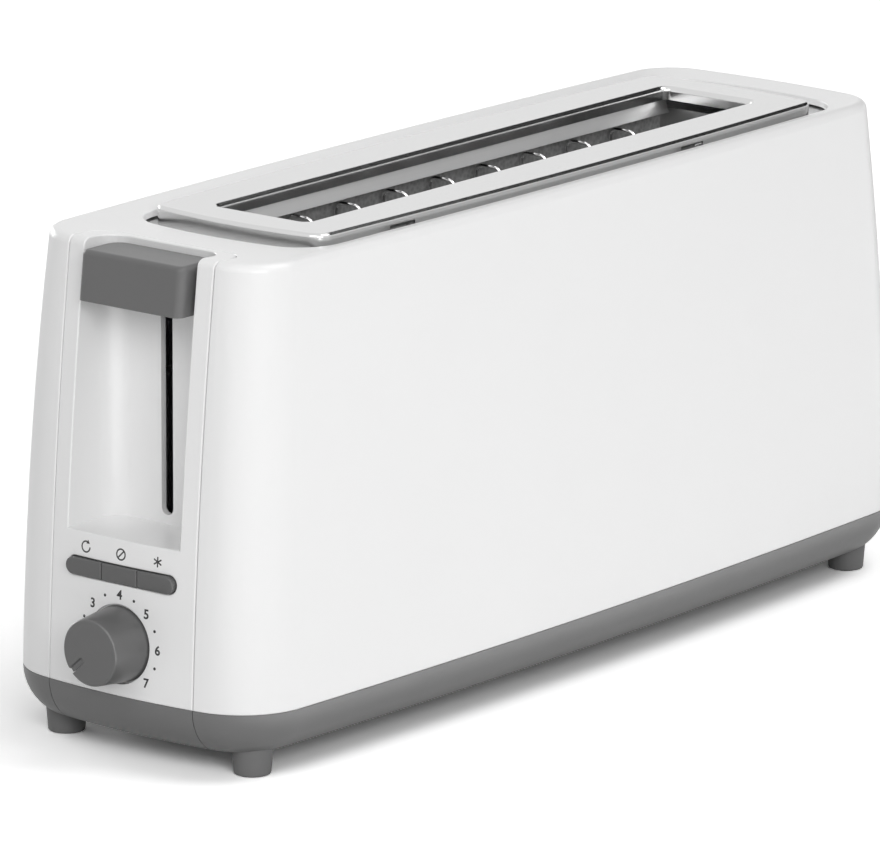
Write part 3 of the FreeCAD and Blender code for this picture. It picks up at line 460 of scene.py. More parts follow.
@dataclass
class Surface:
    """Points and faces that are gathered and made into one mesh."""

    points: list[Array]
    faces: list[list[int]]

    @classmethod
    def empty(cls) -> "Surface":
        """A surface with nothing in it."""
        return cls([], [])

    def add(self, points: Array, faces: Sequence[Sequence[int]]) -> None:
        """Adds a patch.

        Args:
            points: the patch's points as n x 3.
            faces: its faces, which count from its own first point.
        """
        start = sum(len(patch) for patch in self.points)
        self.points.append(points)
        self.faces.extend([[start + number for number in face] for face in faces])

    def add_solid(self, rings: Array) -> None:
        """Adds a closed form made of rings, with a point in the middle of the first and last ring.

        Args:
            rings: points as rings x columns x 3.
        """
        count, columns = rings.shape[:2]
        ends = np.stack([rings[0].mean(axis=0), rings[-1].mean(axis=0)])
        faces = wrap_faces(count, columns).tolist()
        faces += fan_faces(count * columns, 0, columns).tolist()
        faces += fan_faces(count * columns + 1, (count - 1) * columns, columns).tolist()
        self.add(np.concatenate([rings.reshape(-1, 3), ends]), faces)

    def mesh(self, name: str) -> bpy.types.Mesh:
        """The finished mesh, with its faces turned outward and its sharp edges kept.

        Args:
            name: the mesh's name.
        Returns:
            The mesh.
        """
        made = bpy.data.meshes.new(name)
        made.from_pydata(np.concatenate(self.points), [], self.faces)
        work = bmesh.new()
        work.from_mesh(made)
        bmesh.ops.remove_doubles(work, verts=work.verts, dist=MERGE_DISTANCE)
        bmesh.ops.recalc_face_normals(work, faces=work.faces)
        work.to_mesh(made)
        work.free()
        made.shade_smooth()
        made.set_sharp_from_angle(angle=SHARP_ANGLE)
        return made


@dataclass(frozen=True)
class Piece:
    """What a finished piece is called, rides on, takes its finish from and stands for."""

    name: str
    body: str
    slot: str
    finish: Finish
    nodes: tuple[str, ...] = ()

    def add(self, surface: Surface) -> bpy.types.Object:
        """Puts the piece's surface in the scene and says what it is.

        Args:
            surface: the points and faces, in the object's own frame.
        Returns:
            The piece's object.
        """
        piece = new_object(self.name, surface.mesh(self.name))
        dress(piece, self.finish)
        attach(piece, self.body)
        if self.nodes:
            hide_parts(*self.nodes)
        log.info("piece %s: %d faces", self.name, len(piece.data.polygons))
        return piece


def revolve(profile: Array, turn: Array) -> Array:
    """A profile carried round the Z axis.

    A profile point (r, z) at the angle a becomes (r cos a, r sin a, z).
    Args:
        profile: points as n x 2, radius and height.
        turn: the angles of the columns.
    Returns:
        Rings of points, one ring for each profile point.
    """
    radius = profile[:, 0, None]
    height = np.repeat(profile[:, 1, None], len(turn), axis=1)
    return np.stack([radius * np.cos(turn), radius * np.sin(turn), height], axis=-1)


def rounded_rings(half_width: float, half_height: float, radii: Sequence[float], insets: Array,
                  steps: int = 7) -> Array:
    """Rounded rectangles, one ring of points for each inset.

    Each corner is a quarter circle. Moving the outline in by an inset shortens the radius, and once
    the radius is used up the corner's centre moves in too.
    Args:
        half_width: half the outline's width.
        half_height: half its height.
        radii: the corners' radii, counter-clockwise from the upper right.
        insets: how far each ring is moved in.
        steps: points in each corner.
    Returns:
        Points as rings x columns x 2.
    """
    signs = np.array([(1, 1), (-1, 1), (-1, -1), (1, -1)])
    held = np.maximum(np.asarray(radii)[None, :], insets[:, None])[..., None]
    centres = signs[None] * (np.array([half_width, half_height]) - held)
    turn = np.arange(4)[:, None] * math.pi / 2 + np.linspace(0, math.pi / 2, steps)[None]
    rays = np.stack([np.cos(turn), np.sin(turn)], axis=-1)
    reach = (held - insets[:, None, None])[..., None]
    return (centres[:, :, None] + reach * rays[None]).reshape(len(insets), -1, 2)


@dataclass(frozen=True)
class ControlEnd:
    """The case's control end, bowed across and leaning in towards the top."""

    low: float = 25.0 * MM
    high: float = 178.8 * MM
    low_reach: float = 198.5 * MM
    lean: float = 13.0 * MM
    bulge: float = 0.5
    low_side: float = 64.0 * MM
    side_lean: float = 8.0 * MM
    low_corner: float = 27.0 * MM
    high_corner: float = 20.0 * MM
    low_bow: float = 2.2 * MM
    high_bow: float = 1.5 * MM
    low_side_bow: float = 4.1 * MM
    high_side_bow: float = 3.0 * MM

    def surface(self, y: Array, z: Array) -> Array:
        """Where the end's skin lies on X.

        The middle line leans in with the height, a little less than straight halfway up. Across it,
        the skin falls back as a circle's arc does, R - sqrt(R^2 - y^2).
        Args:
            y: places across the end.
            z: heights.
        Returns:
            X for each place.
        """
        t = (z - self.low) / (self.high - self.low)
        fraction = t - self.bulge * t * (1 - t)
        reach = self.low_reach - self.lean * fraction
        bow = self.low_bow + (self.high_bow - self.low_bow) * t
        side_bow = self.low_side_bow + (self.high_side_bow - self.low_side_bow) * t
        corner = self.low_corner + (self.high_corner - self.low_corner) * t
        core = self.low_side - self.side_lean * fraction - side_bow - corner
        radius = corner + (core ** 2 + bow ** 2) / (2 * bow)
        return case_middle() - reach + radius - np.sqrt(radius ** 2 - y ** 2)

    def printed(self, flat: Array, across: float, up: float, depth: float) -> Array:
        """Flat art moved onto the skin.

        Seen from the front, right is -Y. The art's third coordinate is 0 at its back and 1 at its
        front; the back sinks a hair into the skin and the front stands proud by the depth.
        Args:
            flat: points as n x 3: right, up and layer.
            across: how far right of the middle the art's origin lies.
            up: the origin's height.
            depth: the art's thickness.
        Returns:
            Points in the object's frame.
        """
        y = -(flat[:, 0] + across)
        z = flat[:, 1] + up
        x = self.surface(y, z) - (flat[:, 2] * 2 - 1) * depth
        return np.stack([x, y, z], axis=-1)


@dataclass(frozen=True)
class BrowningKnob:
    """Round knob: a tapered wall, a rolled front edge and a groove that points."""

    edge: float = 0.8 * MM
    wall: float = 2.0 * MM
    hub_radius: float = 5.6 * MM
    bore_radius: float = 3.02 * MM
    bore_depth: float = 11.2 * MM
    base_radius: float = 13.6 * MM
    face_radius: float = 12.0 * MM
    dish: float = 0.25 * MM
    groove_start: float = 4.6 * MM
    groove_end: float = 12.6 * MM
    groove_width: float = 2.0 * MM
    groove_depth: float = 0.90 * MM
    groove_soft: float = 0.60 * MM
    pointer_angle: float = -132.0
    columns: int = 224
    crowding: float = 0.86
    pole_radius: float = 0.05 * MM
    ring_gap: float = 0.1 * MM
    foot_bevel: float = 0.3 * MM
    first_wall_ring: float = 0.05
    wall_rings: int = 14
    face_rings: int = 60

    def build(self) -> None:
        """Revolves the profile, presses the groove in and turns it onto the shaft's axis.

        The columns crowd about the groove: an even angle s moves to s - k sin s.
        """
        low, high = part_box("browning_knob")
        length = high.x - low.x
        spread = np.linspace(0, 2 * math.pi, self.columns, endpoint=False)
        turn = spread - self.crowding * np.sin(spread)
        rings = revolve(self._profile(length), turn)
        rings[..., 2] -= self._groove(rings, length)
        angle = math.radians(self.pointer_angle)
        right = rings[..., 1] * math.cos(angle) - rings[..., 0] * math.sin(angle)
        up = rings[..., 0] * math.cos(angle) + rings[..., 1] * math.sin(angle)
        axis_y = (low.y + high.y) / 2
        axis_z = (low.z + high.z) / 2
        placed = np.stack([high.x - rings[..., 2], axis_y + right, axis_z + up], axis=-1)
        surface = Surface.empty()
        surface.add_solid(placed)
        Piece("knob", "knob", "knob_plastic", KNOB_GREY, ("browning_knob",)).add(surface)

    def _profile(self, length: float) -> Array:
        """The outline from the bore's end, round the hollow back, up the wall to the face.

        Across the face it falls to the middle by dish (1 - (r / R)^2).
        Args:
            length: from the knob's back to its face.
        Returns:
            Radius and height of each point.
        """
        inner_base = self.base_radius - self.wall
        inner_face = self.face_radius - self.wall
        roof = length - self.wall
        back = np.array([
            (self.ring_gap, self.bore_depth), (self.bore_radius, self.bore_depth),
            (self.bore_radius, 0.0), (self.hub_radius, 0.0), (self.hub_radius, roof),
            (inner_face, roof), (inner_base, 0.0),
            (self.base_radius - self.foot_bevel, 0.0), (self.base_radius, self.foot_bevel)])
        steps = np.linspace(self.first_wall_ring, 1.0, self.wall_rings)[:, None]
        foot = np.array([(self.base_radius, self.foot_bevel)])
        shoulder = np.array([(self.face_radius, length - self.edge)])
        wall = foot + (shoulder - foot) * steps
        edge = arc((self.face_radius - self.edge, length - self.edge), self.edge, 0, 90)
        outermost = self.face_radius - self.edge - self.ring_gap
        radius = np.linspace(outermost, self.pole_radius, self.face_rings)
        fall = self.dish * (1 - (radius / self.face_radius) ** 2)
        face = np.stack([radius, length - fall], axis=-1)
        return np.concatenate([back, wall, edge[1:], face])

    def _groove(self, rings: Array, length: float) -> Array:
        """How deep each point is pressed in.

        The groove runs along +X of the revolved form between two ends. Its depth is full within half
        its width of that line and fades over the soft edge, 3t^2 - 2t^3.
        Args:
            rings: the revolved form's points.
            length: from the knob's back to its face.
        Returns:
            A depth for each point.
        """
        half = self.groove_width / 2
        along = np.clip(rings[..., 0], self.groove_start + half, self.groove_end - half)
        distance = np.hypot(rings[..., 0] - along, rings[..., 1])
        t = np.clip((half - distance) / self.groove_soft + 0.5, 0, 1)
        on_face = rings[..., 2] > length - self.wall / 2
        return on_face * self.groove_depth * (3 * t ** 2 - 2 * t ** 3)


@dataclass(frozen=True)
class PushButton:
    """A button cap with a rolled, slightly crowned face, its flange behind the panel and its stem."""

    node: str
    body: str
    round_right: bool = False
    round_left: bool = False
    roll: float = 0.45 * MM
    crown: float = 0.22 * MM
    soft_corner: float = 0.25 * MM
    face_height: float = 6.2 * MM
    flange: float = 1.5 * MM
    stem_width: float = 5.0 * MM
    stem_height: float = 4.0 * MM
    row_height: float = 68.0 * MM
    flange_behind_skin: float = 5.0 * MM
    straight_end: float = 0.02 * MM
    edge_rings: int = 7
    crown_rings: int = 8
    first_crown_ring: float = 0.12

    def build(self) -> None:
        """Stacks rounded sections from the stem's end to the middle of the face."""
        low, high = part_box(self.node)
        half = (high.y - low.y) / 2
        tall = (high.z - low.z) / 2
        stem = (self.stem_width / 2, self.stem_height / 2)
        flange_front = low.x + self._cap_length(low.x)
        flange_rear = flange_front + self.flange
        parts = [
            self._sections(*stem, [high.x, flange_rear]),
            self._sections(half, tall, [flange_rear, flange_front]),
            self._cap(half, low.x, flange_front),
        ]
        rings = np.concatenate(parts)
        rings[..., 1] += (low.y + high.y) / 2
        rings[..., 2] += (low.z + high.z) / 2
        surface = Surface.empty()
        surface.add_solid(rings)
        name = self.node.replace("_button", "_key")
        Piece(name, self.body, "button_plastic", KEY_GREY, (self.node,)).add(surface)

    def _cap_length(self, front: float) -> float:
        """From the cap's face to the flange's front, which clears the wall and its bow."""
        middle_skin = float(ControlEnd().surface(np.zeros(1), np.array([self.row_height]))[0])
        return middle_skin - front + self.flange_behind_skin

    def _sections(self, half: float, tall: float, places: Sequence[float]) -> Array:
        """A plain bar's rings.

        Args:
            half: half its width.
            tall: half its height.
            places: where the rings stand on X.
        Returns:
            Points as rings x columns x 3.
        """
        radii = [self.soft_corner] * 4
        rings = rounded_rings(half, tall, radii, np.zeros(len(places)))
        x = np.repeat(np.array(places)[:, None, None], rings.shape[1], axis=1)
        return np.concatenate([x, rings], axis=-1)

    def _cap(self, half: float, front: float, rear: float) -> Array:
        """The cap's rings: a straight wall, a quarter round edge, then a shallow crown.

        Inside the edge the face rises by crown (1 - (1 - s)^2), with s from the edge to the middle.
        Args:
            half: half the cap's width.
            front: where the face's middle lies on X.
            rear: where the cap meets its flange.
        Returns:
            Points as rings x columns x 3.
        """
        tall = self.face_height / 2
        full = tall - self.straight_end
        right = full if self.round_right else self.soft_corner
        left = full if self.round_left else self.soft_corner
        quarter = np.linspace(0, math.pi / 2, self.edge_rings)
        edge = self.roll * (1 - np.cos(quarter))
        s = np.linspace(self.first_crown_ring, 1.0, self.crown_rings)
        inner = self.roll + s * (full - self.roll)
        edge_x = front + self.crown + self.roll * (1 - np.sin(quarter))
        crown_x = front + self.crown * (1 - s) ** 2
        insets = np.concatenate([[0.0], edge, inner])
        x = np.concatenate([[rear], edge_x, crown_x])
        rings = rounded_rings(half, tall, (left, right, right, left), insets)
        x = np.repeat(x[:, None, None], rings.shape[1], axis=1)
        return np.concatenate([x, rings], axis=-1)


class Mark(Enum):
    """A generic sign, named by the button that it is printed above."""

    AGAIN = "reheat_button"
    STOP = "cancel_button"
    FROST = "defrost_button"


@dataclass(frozen=True)
class DialPrint:
    """Grey print on the control end: numbers and dots round the knob, a sign above each button."""

    bold: float = 0.025
    depth: float = 0.03 * MM
    digit_height: float = 3.5 * MM
    numbers: int = 7
    degrees_apart: float = 44.0
    middle_number: int = 4
    dial_radius: float = 17.6 * MM
    dot_radius: float = 0.55 * MM
    mark_radius: float = 1.9 * MM
    mark_stroke: float = 0.55 * MM
    mark_rise: float = 7.3 * MM
    frost_turns: tuple[float, ...] = (90.0, 30.0, -30.0)
    stop_turn: float = 45.0
    again_start: float = 60.0
    bow_wedges: int = 24
    tip_ratio: float = 1.7

    def build(self) -> None:
        """Gathers digits, dots and signs into one piece on the panel."""
        surface = Surface.empty()
        low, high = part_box("browning_knob")
        height = (low.z + high.z) / 2
        for number in range(1, self.numbers + 1):
            self._digit(surface, number, height)
        for gap in range(1, self.numbers):
            self._dot(surface, gap + 0.5, height)
        for mark in Mark:
            self._mark(surface, mark)
        Piece("dial_print", ROOT_BODY, "white_plastic", PRINT).add(surface)

    def _spot(self, number: float) -> tuple[float, float]:
        """Where a number lies round the knob, right and up of its axis."""
        turn = math.radians((number - self.middle_number) * self.degrees_apart)
        return self.dial_radius * math.sin(turn), self.dial_radius * math.cos(turn)

    def _digit(self, surface: Surface, number: int, height: float) -> None:
        """One upright digit, made a mesh, scaled to its height and laid on the skin.

        Args:
            surface: what the digit is added to.
            number: the digit.
            height: the height of the knob's axis.
        """
        half_layer = 0.5
        curve = bpy.data.curves.new("digit", "FONT")
        curve.body = str(number)
        curve.extrude = half_layer
        curve.offset = self.bold
        text = bpy.data.objects.new("digit", curve)
        mesh = bpy.data.meshes.new_from_object(text)
        flat = np.empty(len(mesh.vertices) * 3)
        mesh.vertices.foreach_get("co", flat)
        flat = flat.reshape(-1, 3)
        faces = [list(face.vertices) for face in mesh.polygons]
        bpy.data.objects.remove(text)
        lowest = flat[:, :2].min(axis=0)
        highest = flat[:, :2].max(axis=0)
        scale = self.digit_height / (highest[1] - lowest[1])
        flat[:, :2] = (flat[:, :2] - (lowest + highest) / 2) * scale
        flat[:, 2] += half_layer
        right, up = self._spot(number)
        surface.add(ControlEnd().printed(flat, right, height + up, self.depth), faces)

    def _dot(self, surface: Surface, place: float, height: float) -> None:
        """One round dot between two numbers.

        Args:
            surface: what the dot is added to.
            place: where it stands on the dial, such as 2.5 between 2 and 3.
            height: the height of the knob's axis.
        """
        right, up = self._spot(place)
        radius = self.dot_radius
        disc = rounded_rings(radius, radius, [radius] * 4, np.zeros(2), steps=5)
        self._lay(surface, disc, (right, height + up))

    def _lay(self, surface: Surface, outline: Array, spot: tuple[float, float]) -> None:
        """Lays an outline on the skin as a thin solid.

        Args:
            surface: what the solid is added to.
            outline: the outline given twice, its back and its front, as 2 x columns x 2.
            spot: where its origin lies: right of the case's middle, and up.
        """
        layer = np.repeat(np.array([0.0, 1.0])[:, None, None], outline.shape[1], axis=1)
        flat = np.concatenate([outline, layer], axis=-1).reshape(-1, 3)
        placed = ControlEnd().printed(flat, *spot, self.depth)
        surface.add_solid(placed.reshape(2, -1, 3))

    def _mark(self, surface: Surface, mark: Mark) -> None:
        """The sign above one button.

        Args:
            surface: what the sign is added to.
            mark: which sign it is.
        """
        low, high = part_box(mark.value)
        spot = (-(low.y + high.y) / 2, (low.z + high.z) / 2 + self.mark_rise)
        if mark is Mark.FROST:
            for turn in self.frost_turns:
                self._bar(surface, turn, spot)
            return
        start = self.again_start if mark is Mark.AGAIN else 0.0
        self._bow(surface, start, spot)
        if mark is Mark.STOP:
            self._bar(surface, self.stop_turn, spot)
        else:
            self._tip(surface, start, spot)

    def _bar(self, surface: Surface, turn: float, spot: tuple[float, float]) -> None:
        """A straight stroke with round ends through the sign's middle.

        Args:
            surface: what the stroke is added to.
            turn: the stroke's slope in degrees.
            spot: where the sign's middle lies.
        """
        stroke = self.mark_stroke / 2
        outline = rounded_rings(self.mark_radius, stroke, [stroke] * 4, np.zeros(2), steps=4)
        a = math.radians(turn)
        spin = np.array([[math.cos(a), math.sin(a)], [-math.sin(a), math.cos(a)]])
        self._lay(surface, outline @ spin, spot)

    def _bow(self, surface: Surface, start: float, spot: tuple[float, float]) -> None:
        """A stroke along a circle up to 360 degrees, as short wedges laid end to end.

        Args:
            surface: what the stroke is added to.
            start: where it begins, in degrees.
            spot: where the sign's middle lies.
        """
        stops = np.linspace(start, 360.0, self.bow_wedges + 1)
        for first, last in zip(stops[:-1], stops[1:]):
            outer = arc((0, 0), self.mark_radius + self.mark_stroke / 2, first, last, 3)
            inner = arc((0, 0), self.mark_radius - self.mark_stroke / 2, last, first, 3)
            wedge = np.concatenate([outer, inner])
            self._lay(surface, np.stack([wedge, wedge]), spot)

    def _tip(self, surface: Surface, turn: float, spot: tuple[float, float]) -> None:
        """An arrow's tip at the start of the bow: a triangle with even sides.

        Args:
            surface: what the tip is added to.
            turn: where on the circle it sits, in degrees.
            spot: where the sign's middle lies.
        """
        size = self.mark_stroke * self.tip_ratio
        centre = arc((0, 0), self.mark_radius, turn, turn, 1)[0]
        corners = arc(centre, size, turn - 90, turn + 150, 3)
        self._lay(surface, np.stack([corners, corners]), spot)


@dataclass(frozen=True)
class LiftSpring:
    """Coil spring with closed end turns, which the lever presses down to its foot."""

    wire: float = 0.8 * MM
    turns: float = 14.0
    travel: float = 78.0 * MM
    closed_turns: float = 1.5
    steps_per_turn: int = 28
    wire_columns: int = 10

    def build(self) -> None:
        """Carries a round section along the coil's line."""
        low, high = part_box("lift_spring")
        middle = np.array([(low.x + high.x) / 2, (low.y + high.y) / 2, 0.0])
        coil = (high.y - low.y) / 2 - self.wire / 2
        count = int(self.turns * self.steps_per_turn) + 1
        t = np.linspace(0, 1, count)
        turn = t * self.turns * 2 * math.pi
        rise = self._rise(t, low.z, high.z)
        line = np.stack([coil * np.cos(turn), coil * np.sin(turn), rise], axis=-1)
        surface = Surface.empty()
        surface.add_solid(tube(line + middle, self.wire / 2, self.wire_columns))
        piece = Piece("lift_coil", ROOT_BODY, "spring_steel", SPRING, ("lift_spring",)).add(surface)
        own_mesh(piece)

    def _rise(self, t: Array, low: float, high: float) -> Array:
        """Height along the coil: end turns touch, the rest share what is left evenly.

        Args:
            t: places along the coil from 0 to 1.
            low: the spring's foot.
            high: its top.
        Returns:
            A height for each place.
        """
        turns = t * self.turns
        half = self.wire / 2
        closed = self.closed_turns * self.wire
        places = [0.0, self.closed_turns, self.turns - self.closed_turns, self.turns]
        heights = [low + half, low + half + closed, high - half - closed, high - half]
        return np.interp(turns, places, heights)


def tube(line: Array, radius: float, columns: int) -> Array:
    """A round section carried along a line of points.

    At each point the section's two axes are square to the line's direction: the first is the
    direction crossed with Z, the second the direction crossed with the first.
    Args:
        line: points as n x 3, nowhere upright.
        radius: the section's radius.
        columns: points round the section.
    Returns:
        Rings of points.
    """
    along = np.gradient(line, axis=0)
    along /= np.linalg.norm(along, axis=1, keepdims=True)
    side = np.cross(along, [0.0, 0.0, 1.0])
    side /= np.linalg.norm(side, axis=1, keepdims=True)
    over = np.cross(along, side)
    turn = np.linspace(0, 2 * math.pi, columns, endpoint=False)[None, :, None]
    return line[:, None] + radius * (np.cos(turn) * side[:, None] + np.sin(turn) * over[:, None])


@dataclass(frozen=True)
class CrossScrews:
    """Screws with a domed head and a cross recess, driven up into the case from below."""

    head_radius: float = 3.2 * MM
    head_height: float = 2.5 * MM
    shank_radius: float = 1.5 * MM
    thread: float = 0.22 * MM
    pitch: float = 1.1 * MM
    recess_half: float = 1.7 * MM
    recess_stroke: float = 0.75 * MM
    recess_depth: float = 1.1 * MM
    recess_soft: float = 0.3 * MM
    recess_slope: float = 0.4
    dome_share: float = 0.35
    pole_radius: float = 0.05 * MM
    head_rings: int = 22
    rings_per_turn: int = 4
    columns: int = 72

    def build(self) -> None:
        """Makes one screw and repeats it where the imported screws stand."""
        low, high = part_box("base_screws")
        turn = np.linspace(0, 2 * math.pi, self.columns, endpoint=False)
        rings = revolve(self._profile(high.z - low.z), turn)
        rings[..., 2] += self._recess(rings)
        surface = Surface.empty()
        inset = self.head_radius
        for x in (low.x + inset, high.x - inset):
            for y in (low.y + inset, high.y - inset):
                surface.add_solid(rings + np.array([x, y, low.z]))
        Piece("base_screw_set", ROOT_BODY, "screw_steel", ZINC, ("base_screws",)).add(surface)

    def _profile(self, length: float) -> Array:
        """The outline from the head's middle over its dome, along the ridged shank to the tip.

        The dome falls away as the radius cubed, and the thread's ridges follow |sin| of the height.
        Args:
            length: from the head's face to the tip.
        Returns:
            Radius and height of each point.
        """
        radius = np.linspace(self.pole_radius, self.head_radius, self.head_rings)
        dome = self.dome_share * self.head_height * (radius / self.head_radius) ** 3
        head = np.stack([radius, dome], axis=-1)
        z = np.arange(self.head_height, length - self.shank_radius, self.pitch / self.rings_per_turn)
        ridge = self.thread * np.abs(np.sin(math.pi * (z - self.head_height) / self.pitch))
        shank = np.stack([self.shank_radius - self.thread + ridge, z], axis=-1)
        collar = np.array([(self.head_radius, self.head_height)])
        tip = np.array([(self.pole_radius, length)])
        return np.concatenate([head, collar, shank, tip])

    def _recess(self, rings: Array) -> Array:
        """How far the head is pressed in: two crossed strokes, deeper towards the middle.

        Args:
            rings: the screw's points.
        Returns:
            A depth for each point.
        """
        x = np.abs(rings[..., 0])
        y = np.abs(rings[..., 1])
        long_side = np.maximum(x, y)
        short_side = np.minimum(x, y)
        inside = np.minimum(self.recess_half - long_side, self.recess_stroke / 2 - short_side)
        t = np.clip(inside / self.recess_soft + 0.5, 0, 1)
        on_head = rings[..., 2] < self.head_height / 2
        slope = 1 - self.recess_slope * long_side / self.recess_half
        return on_head * t * self.recess_depth * slope


def direction(azimuth: float, elevation: float) -> Vector:
    """Which way a lamp, a card or the camera lies from the object.

    The azimuth counts from -Y towards +X, and the vector is (sin a cos e, -cos a cos e, sin e).
    Args:
        azimuth: degrees round the object.
        elevation: degrees above the floor.
    Returns:
        A vector of length one.
    """
    a = math.radians(azimuth)
    e = math.radians(elevation)
    return Vector((math.sin(a) * math.cos(e), -math.cos(a) * math.cos(e), math.sin(e)))


@dataclass(frozen=True)
class Camera:
    """The photograph's view, found by fitting the case's edges."""

    azimuth: float = -51.54
    elevation: float = 14.20
    roll: float = 0.21
    distance: float = 3.00536
    lens: float = 338.04
    sensor: float = 36.0
    aim_height: float = 0.100
    aim_right: float = -0.01139
    aim_up: float = -0.01482
    nearest: float = 0.1
    furthest: float = 60.0

    def build(self, middle: float) -> None:
        """Makes the camera and hands it to the scene.

        Args:
            middle: the case's middle on X, in metres.
        """
        a = math.radians(self.azimuth)
        t = math.radians(self.roll)
        back = direction(self.azimuth, self.elevation)
        level = Vector((math.cos(a), math.sin(a), 0.0))
        upward = back.cross(level)
        right = level * math.cos(t) + upward * math.sin(t)
        up = upward * math.cos(t) - level * math.sin(t)
        spot = Vector((middle, 0.0, self.aim_height)) + back * self.distance
        spot += right * self.aim_right + up * self.aim_up
        data = bpy.data.cameras.new("photo_view")
        data.lens = self.lens
        data.sensor_width = self.sensor
        data.clip_start = self.nearest
        data.clip_end = self.furthest
        camera = new_object("photo_view", data)
        turn = Matrix((right, up, back)).transposed()
        camera.matrix_world = Matrix.Translation(spot) @ turn.to_4x4()
        bpy.context.scene.camera = camera


@dataclass(frozen=True)
class Lamp:
    """A soft rectangular lamp that faces the toaster."""

    name: str
    azimuth: float
    elevation: float
    distance: float
    width: float
    height: float
    watts: float

    def build(self) -> None:
        """Places the lamp on a sphere round the object and turns it to the middle."""
        back = direction(self.azimuth, self.elevation)
        data = bpy.data.lights.new(self.name, "AREA")
        data.shape = "RECTANGLE"
        data.size = self.width
        data.size_y = self.height
        data.energy = self.watts
        lamp = new_object(self.name, data)
        lamp.location = STUDIO_MIDDLE + back * self.distance
        lamp.rotation_mode = "QUATERNION"
        lamp.rotation_quaternion = back.to_track_quat("Z", "Y")


def stage_sheet(name: str, corners: Sequence[Vector], shader: Shader,
                colour: Any) -> bpy.types.Object:
    """A flat sheet of the studio that isn't part of the toaster, in matt paint.

    Args:
        name: the sheet's name.
        corners: its four corners in order.
        shader: the tree of the paint's material.
        colour: the paint's colour, as a value or a link.
    Returns:
        The sheet.
    """
    paint = shader.node("ShaderNodeBsdfDiffuse", {}, {"Color": colour})
    shader.finish("ShaderNodeOutputMaterial", paint.outputs["BSDF"])
    mesh = bpy.data.meshes.new(name)
    mesh.from_pydata([tuple(corner) for corner in corners], [], [(0, 1, 2, 3)])
    mesh.materials.append(shader.owner)
    sheet = new_object(name, mesh)
    return sheet


@dataclass(frozen=True)
class Flag:
    """A black card beside the set, seen only in reflections, that darkens what mirrors it."""

    azimuth: float
    elevation: float
    distance: float
    width: float
    height: float
    tone: float = 0.02

    def build(self) -> None:
        """Stands the card on a sphere round the object, facing it."""
        back = direction(self.azimuth, self.elevation)
        turn = back.to_track_quat("Z", "Y")
        half = (self.width / 2, self.height / 2)
        flat = [Vector((x * half[0], y * half[1], self.distance)) for x, y in SQUARE]
        corners = [turn @ corner + STUDIO_MIDDLE for corner in flat]
        shader = Shader(bpy.data.materials.new("black_card"))
        card = stage_sheet("reflection_flag", corners, shader, (*grey(self.tone), 1.0))
        card.visible_camera = False
        card.visible_diffuse = False
        card.visible_shadow = False


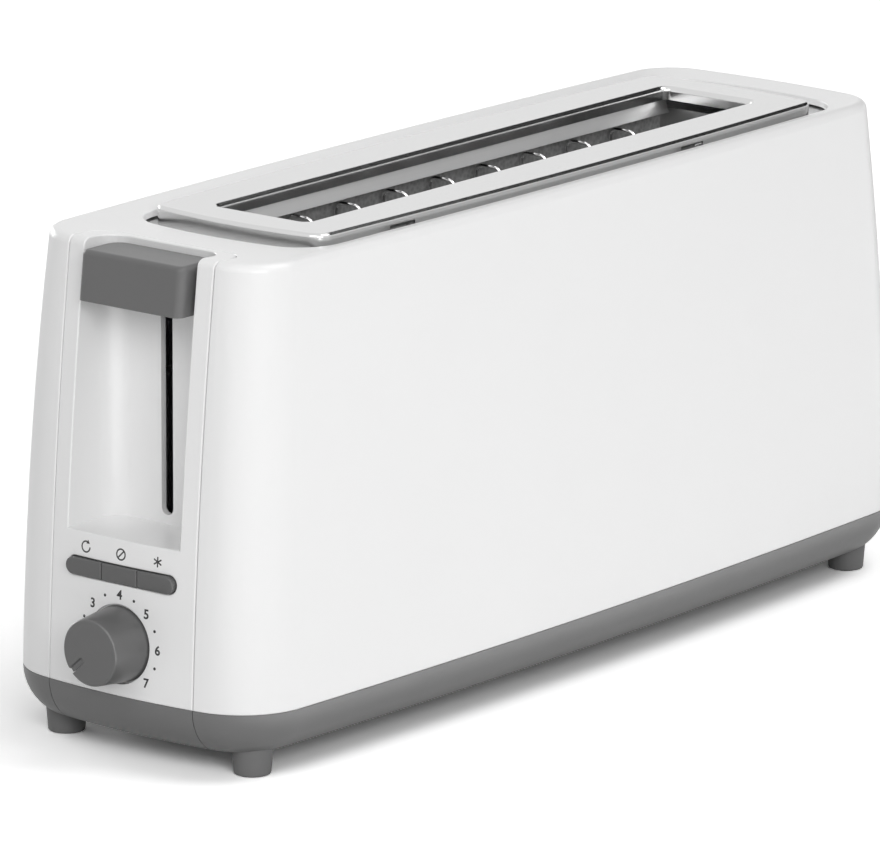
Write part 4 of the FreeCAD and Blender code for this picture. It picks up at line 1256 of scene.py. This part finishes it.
@dataclass(frozen=True)
class Studio:
    """White room with soft lamps and a pale floor."""

    ambient: float = 0.27
    floor_size: float = 12.0
    floor_colour: float = 0.80
    floor_seen: float = 1.55
    # Painted glow: the floor is painted lighter for the camera the further it lies from the toaster.
    floor_painted_far_glow: float = 0.55
    # Painted reflection: to glossy rays the floor is painted up to this brightness past the -Y edge,
    # which lays a sheen on the toaster's near faces.
    floor_painted_reflection: float = 2.8
    floor_painted_reflection_base: float = 0.2
    painted_reflection_edge: float = -0.07
    painted_reflection_fade: float = 20.0
    painted_glow_start: float = 0.45
    painted_glow_fade: float = 1.6
    lamps: tuple[Lamp, ...] = (
        Lamp("side_lamp", -38.0, 22.0, 2.2, 1.1, 0.8, 14.7),
        Lamp("front_lamp", -82.0, 36.0, 2.2, 1.6, 1.2, 10.4),
        Lamp("top_lamp", 32.0, 60.0, 2.2, 1.3, 1.3, 17.2),
        Lamp("rear_lamp", 168.0, 10.0, 2.4, 1.2, 0.6, 15.0),
    )
    flags: tuple[Flag, ...] = (
        Flag(80.0, 33.0, 1.5, 1.9, 1.1),
    )

    def build(self) -> None:
        """Makes the room's light, the lamps and the floor."""
        self._world()
        self._floor()
        for lamp in self.lamps:
            lamp.build()
        for flag in self.flags:
            flag.build()
        bpy.context.scene.view_settings.view_transform = "Standard"

    def _world(self) -> None:
        """White to the camera and to reflections, a plain ambient level to everything else."""
        world = bpy.data.worlds.new("white_room")
        bpy.context.scene.world = world
        shader = Shader(world)
        seen = shader.ray("Is Camera Ray")
        white = seen.most(shader.ray("Is Glossy Ray")).most(shader.ray("Is Transmission Ray"))
        strength = self.ambient + (1.0 - self.ambient) * white
        light = shader.node("ShaderNodeBackground", {}, {"Color": (1.0, 1.0, 1.0, 1.0),
                                                         "Strength": strength})
        shader.finish("ShaderNodeOutputWorld", light.outputs["Background"])

    def _floor(self) -> None:
        """A wide pale sheet that takes the shadow and burns out to white for the camera. Further from
        the toaster it is painted lighter still for the camera, a painted glow. In reflections it is
        painted brighter past the -Y edge, a painted reflection that lays a sheen on the toaster's
        near faces.
        """
        half = self.floor_size / 2
        corners = [Vector((x * half, y * half, 0.0)) for x, y in SQUARE]
        shader = Shader(bpy.data.materials.new("pale_floor"))
        seen = shader.ray("Is Camera Ray")
        mirrored = shader.ray("Is Glossy Ray")
        spot = shader.place()
        away = shader.value("ShaderNodeVectorMath", {"operation": "LENGTH"}, {0: spot}, "Value")
        side = shader.value("ShaderNodeSeparateXYZ", {}, {0: spot}, "Y")
        # Painted reflection: this mask brightens the floor in reflections only, past the -Y edge.
        painted_reflection_mask = ((self.painted_reflection_edge - side) * self.painted_reflection_fade).clamped()
        # Painted glow: a mask that grows with distance from the toaster and lightens the floor for
        # the camera.
        far_glow_mask = ((away - self.painted_glow_start) * self.painted_glow_fade).clamped()
        seen_tone = self.floor_seen - self.floor_colour + self.floor_painted_far_glow * far_glow_mask
        painted_reflection_gain = self.floor_painted_reflection - self.floor_colour - self.floor_painted_reflection_base
        painted_reflection_tone = self.floor_painted_reflection_base + painted_reflection_gain * painted_reflection_mask
        colour = self.floor_colour + seen_tone * seen + painted_reflection_tone * mirrored
        stage_sheet("floor", corners, shader, colour)


def case_middle() -> float:
    """The case's middle on X: the feet stand evenly about it."""
    low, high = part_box("feet")
    return (low.x + high.x) / 2


def main() -> None:
    """Builds the camera, the studio and every piece in order."""
    logging.basicConfig(level=logging.INFO, format="%(name)s: %(message)s")
    Camera().build(case_middle())
    Studio().build()
    dress_cad_nodes()
    BrowningKnob().build()
    PushButton("reheat_button", "reheat", round_left=True).build()
    PushButton("cancel_button", "cancel").build()
    PushButton("defrost_button", "defrost", round_right=True).build()
    DialPrint().build()
    LiftSpring().build()
    CrossScrews().build()


if __name__ == "__main__":
    main()
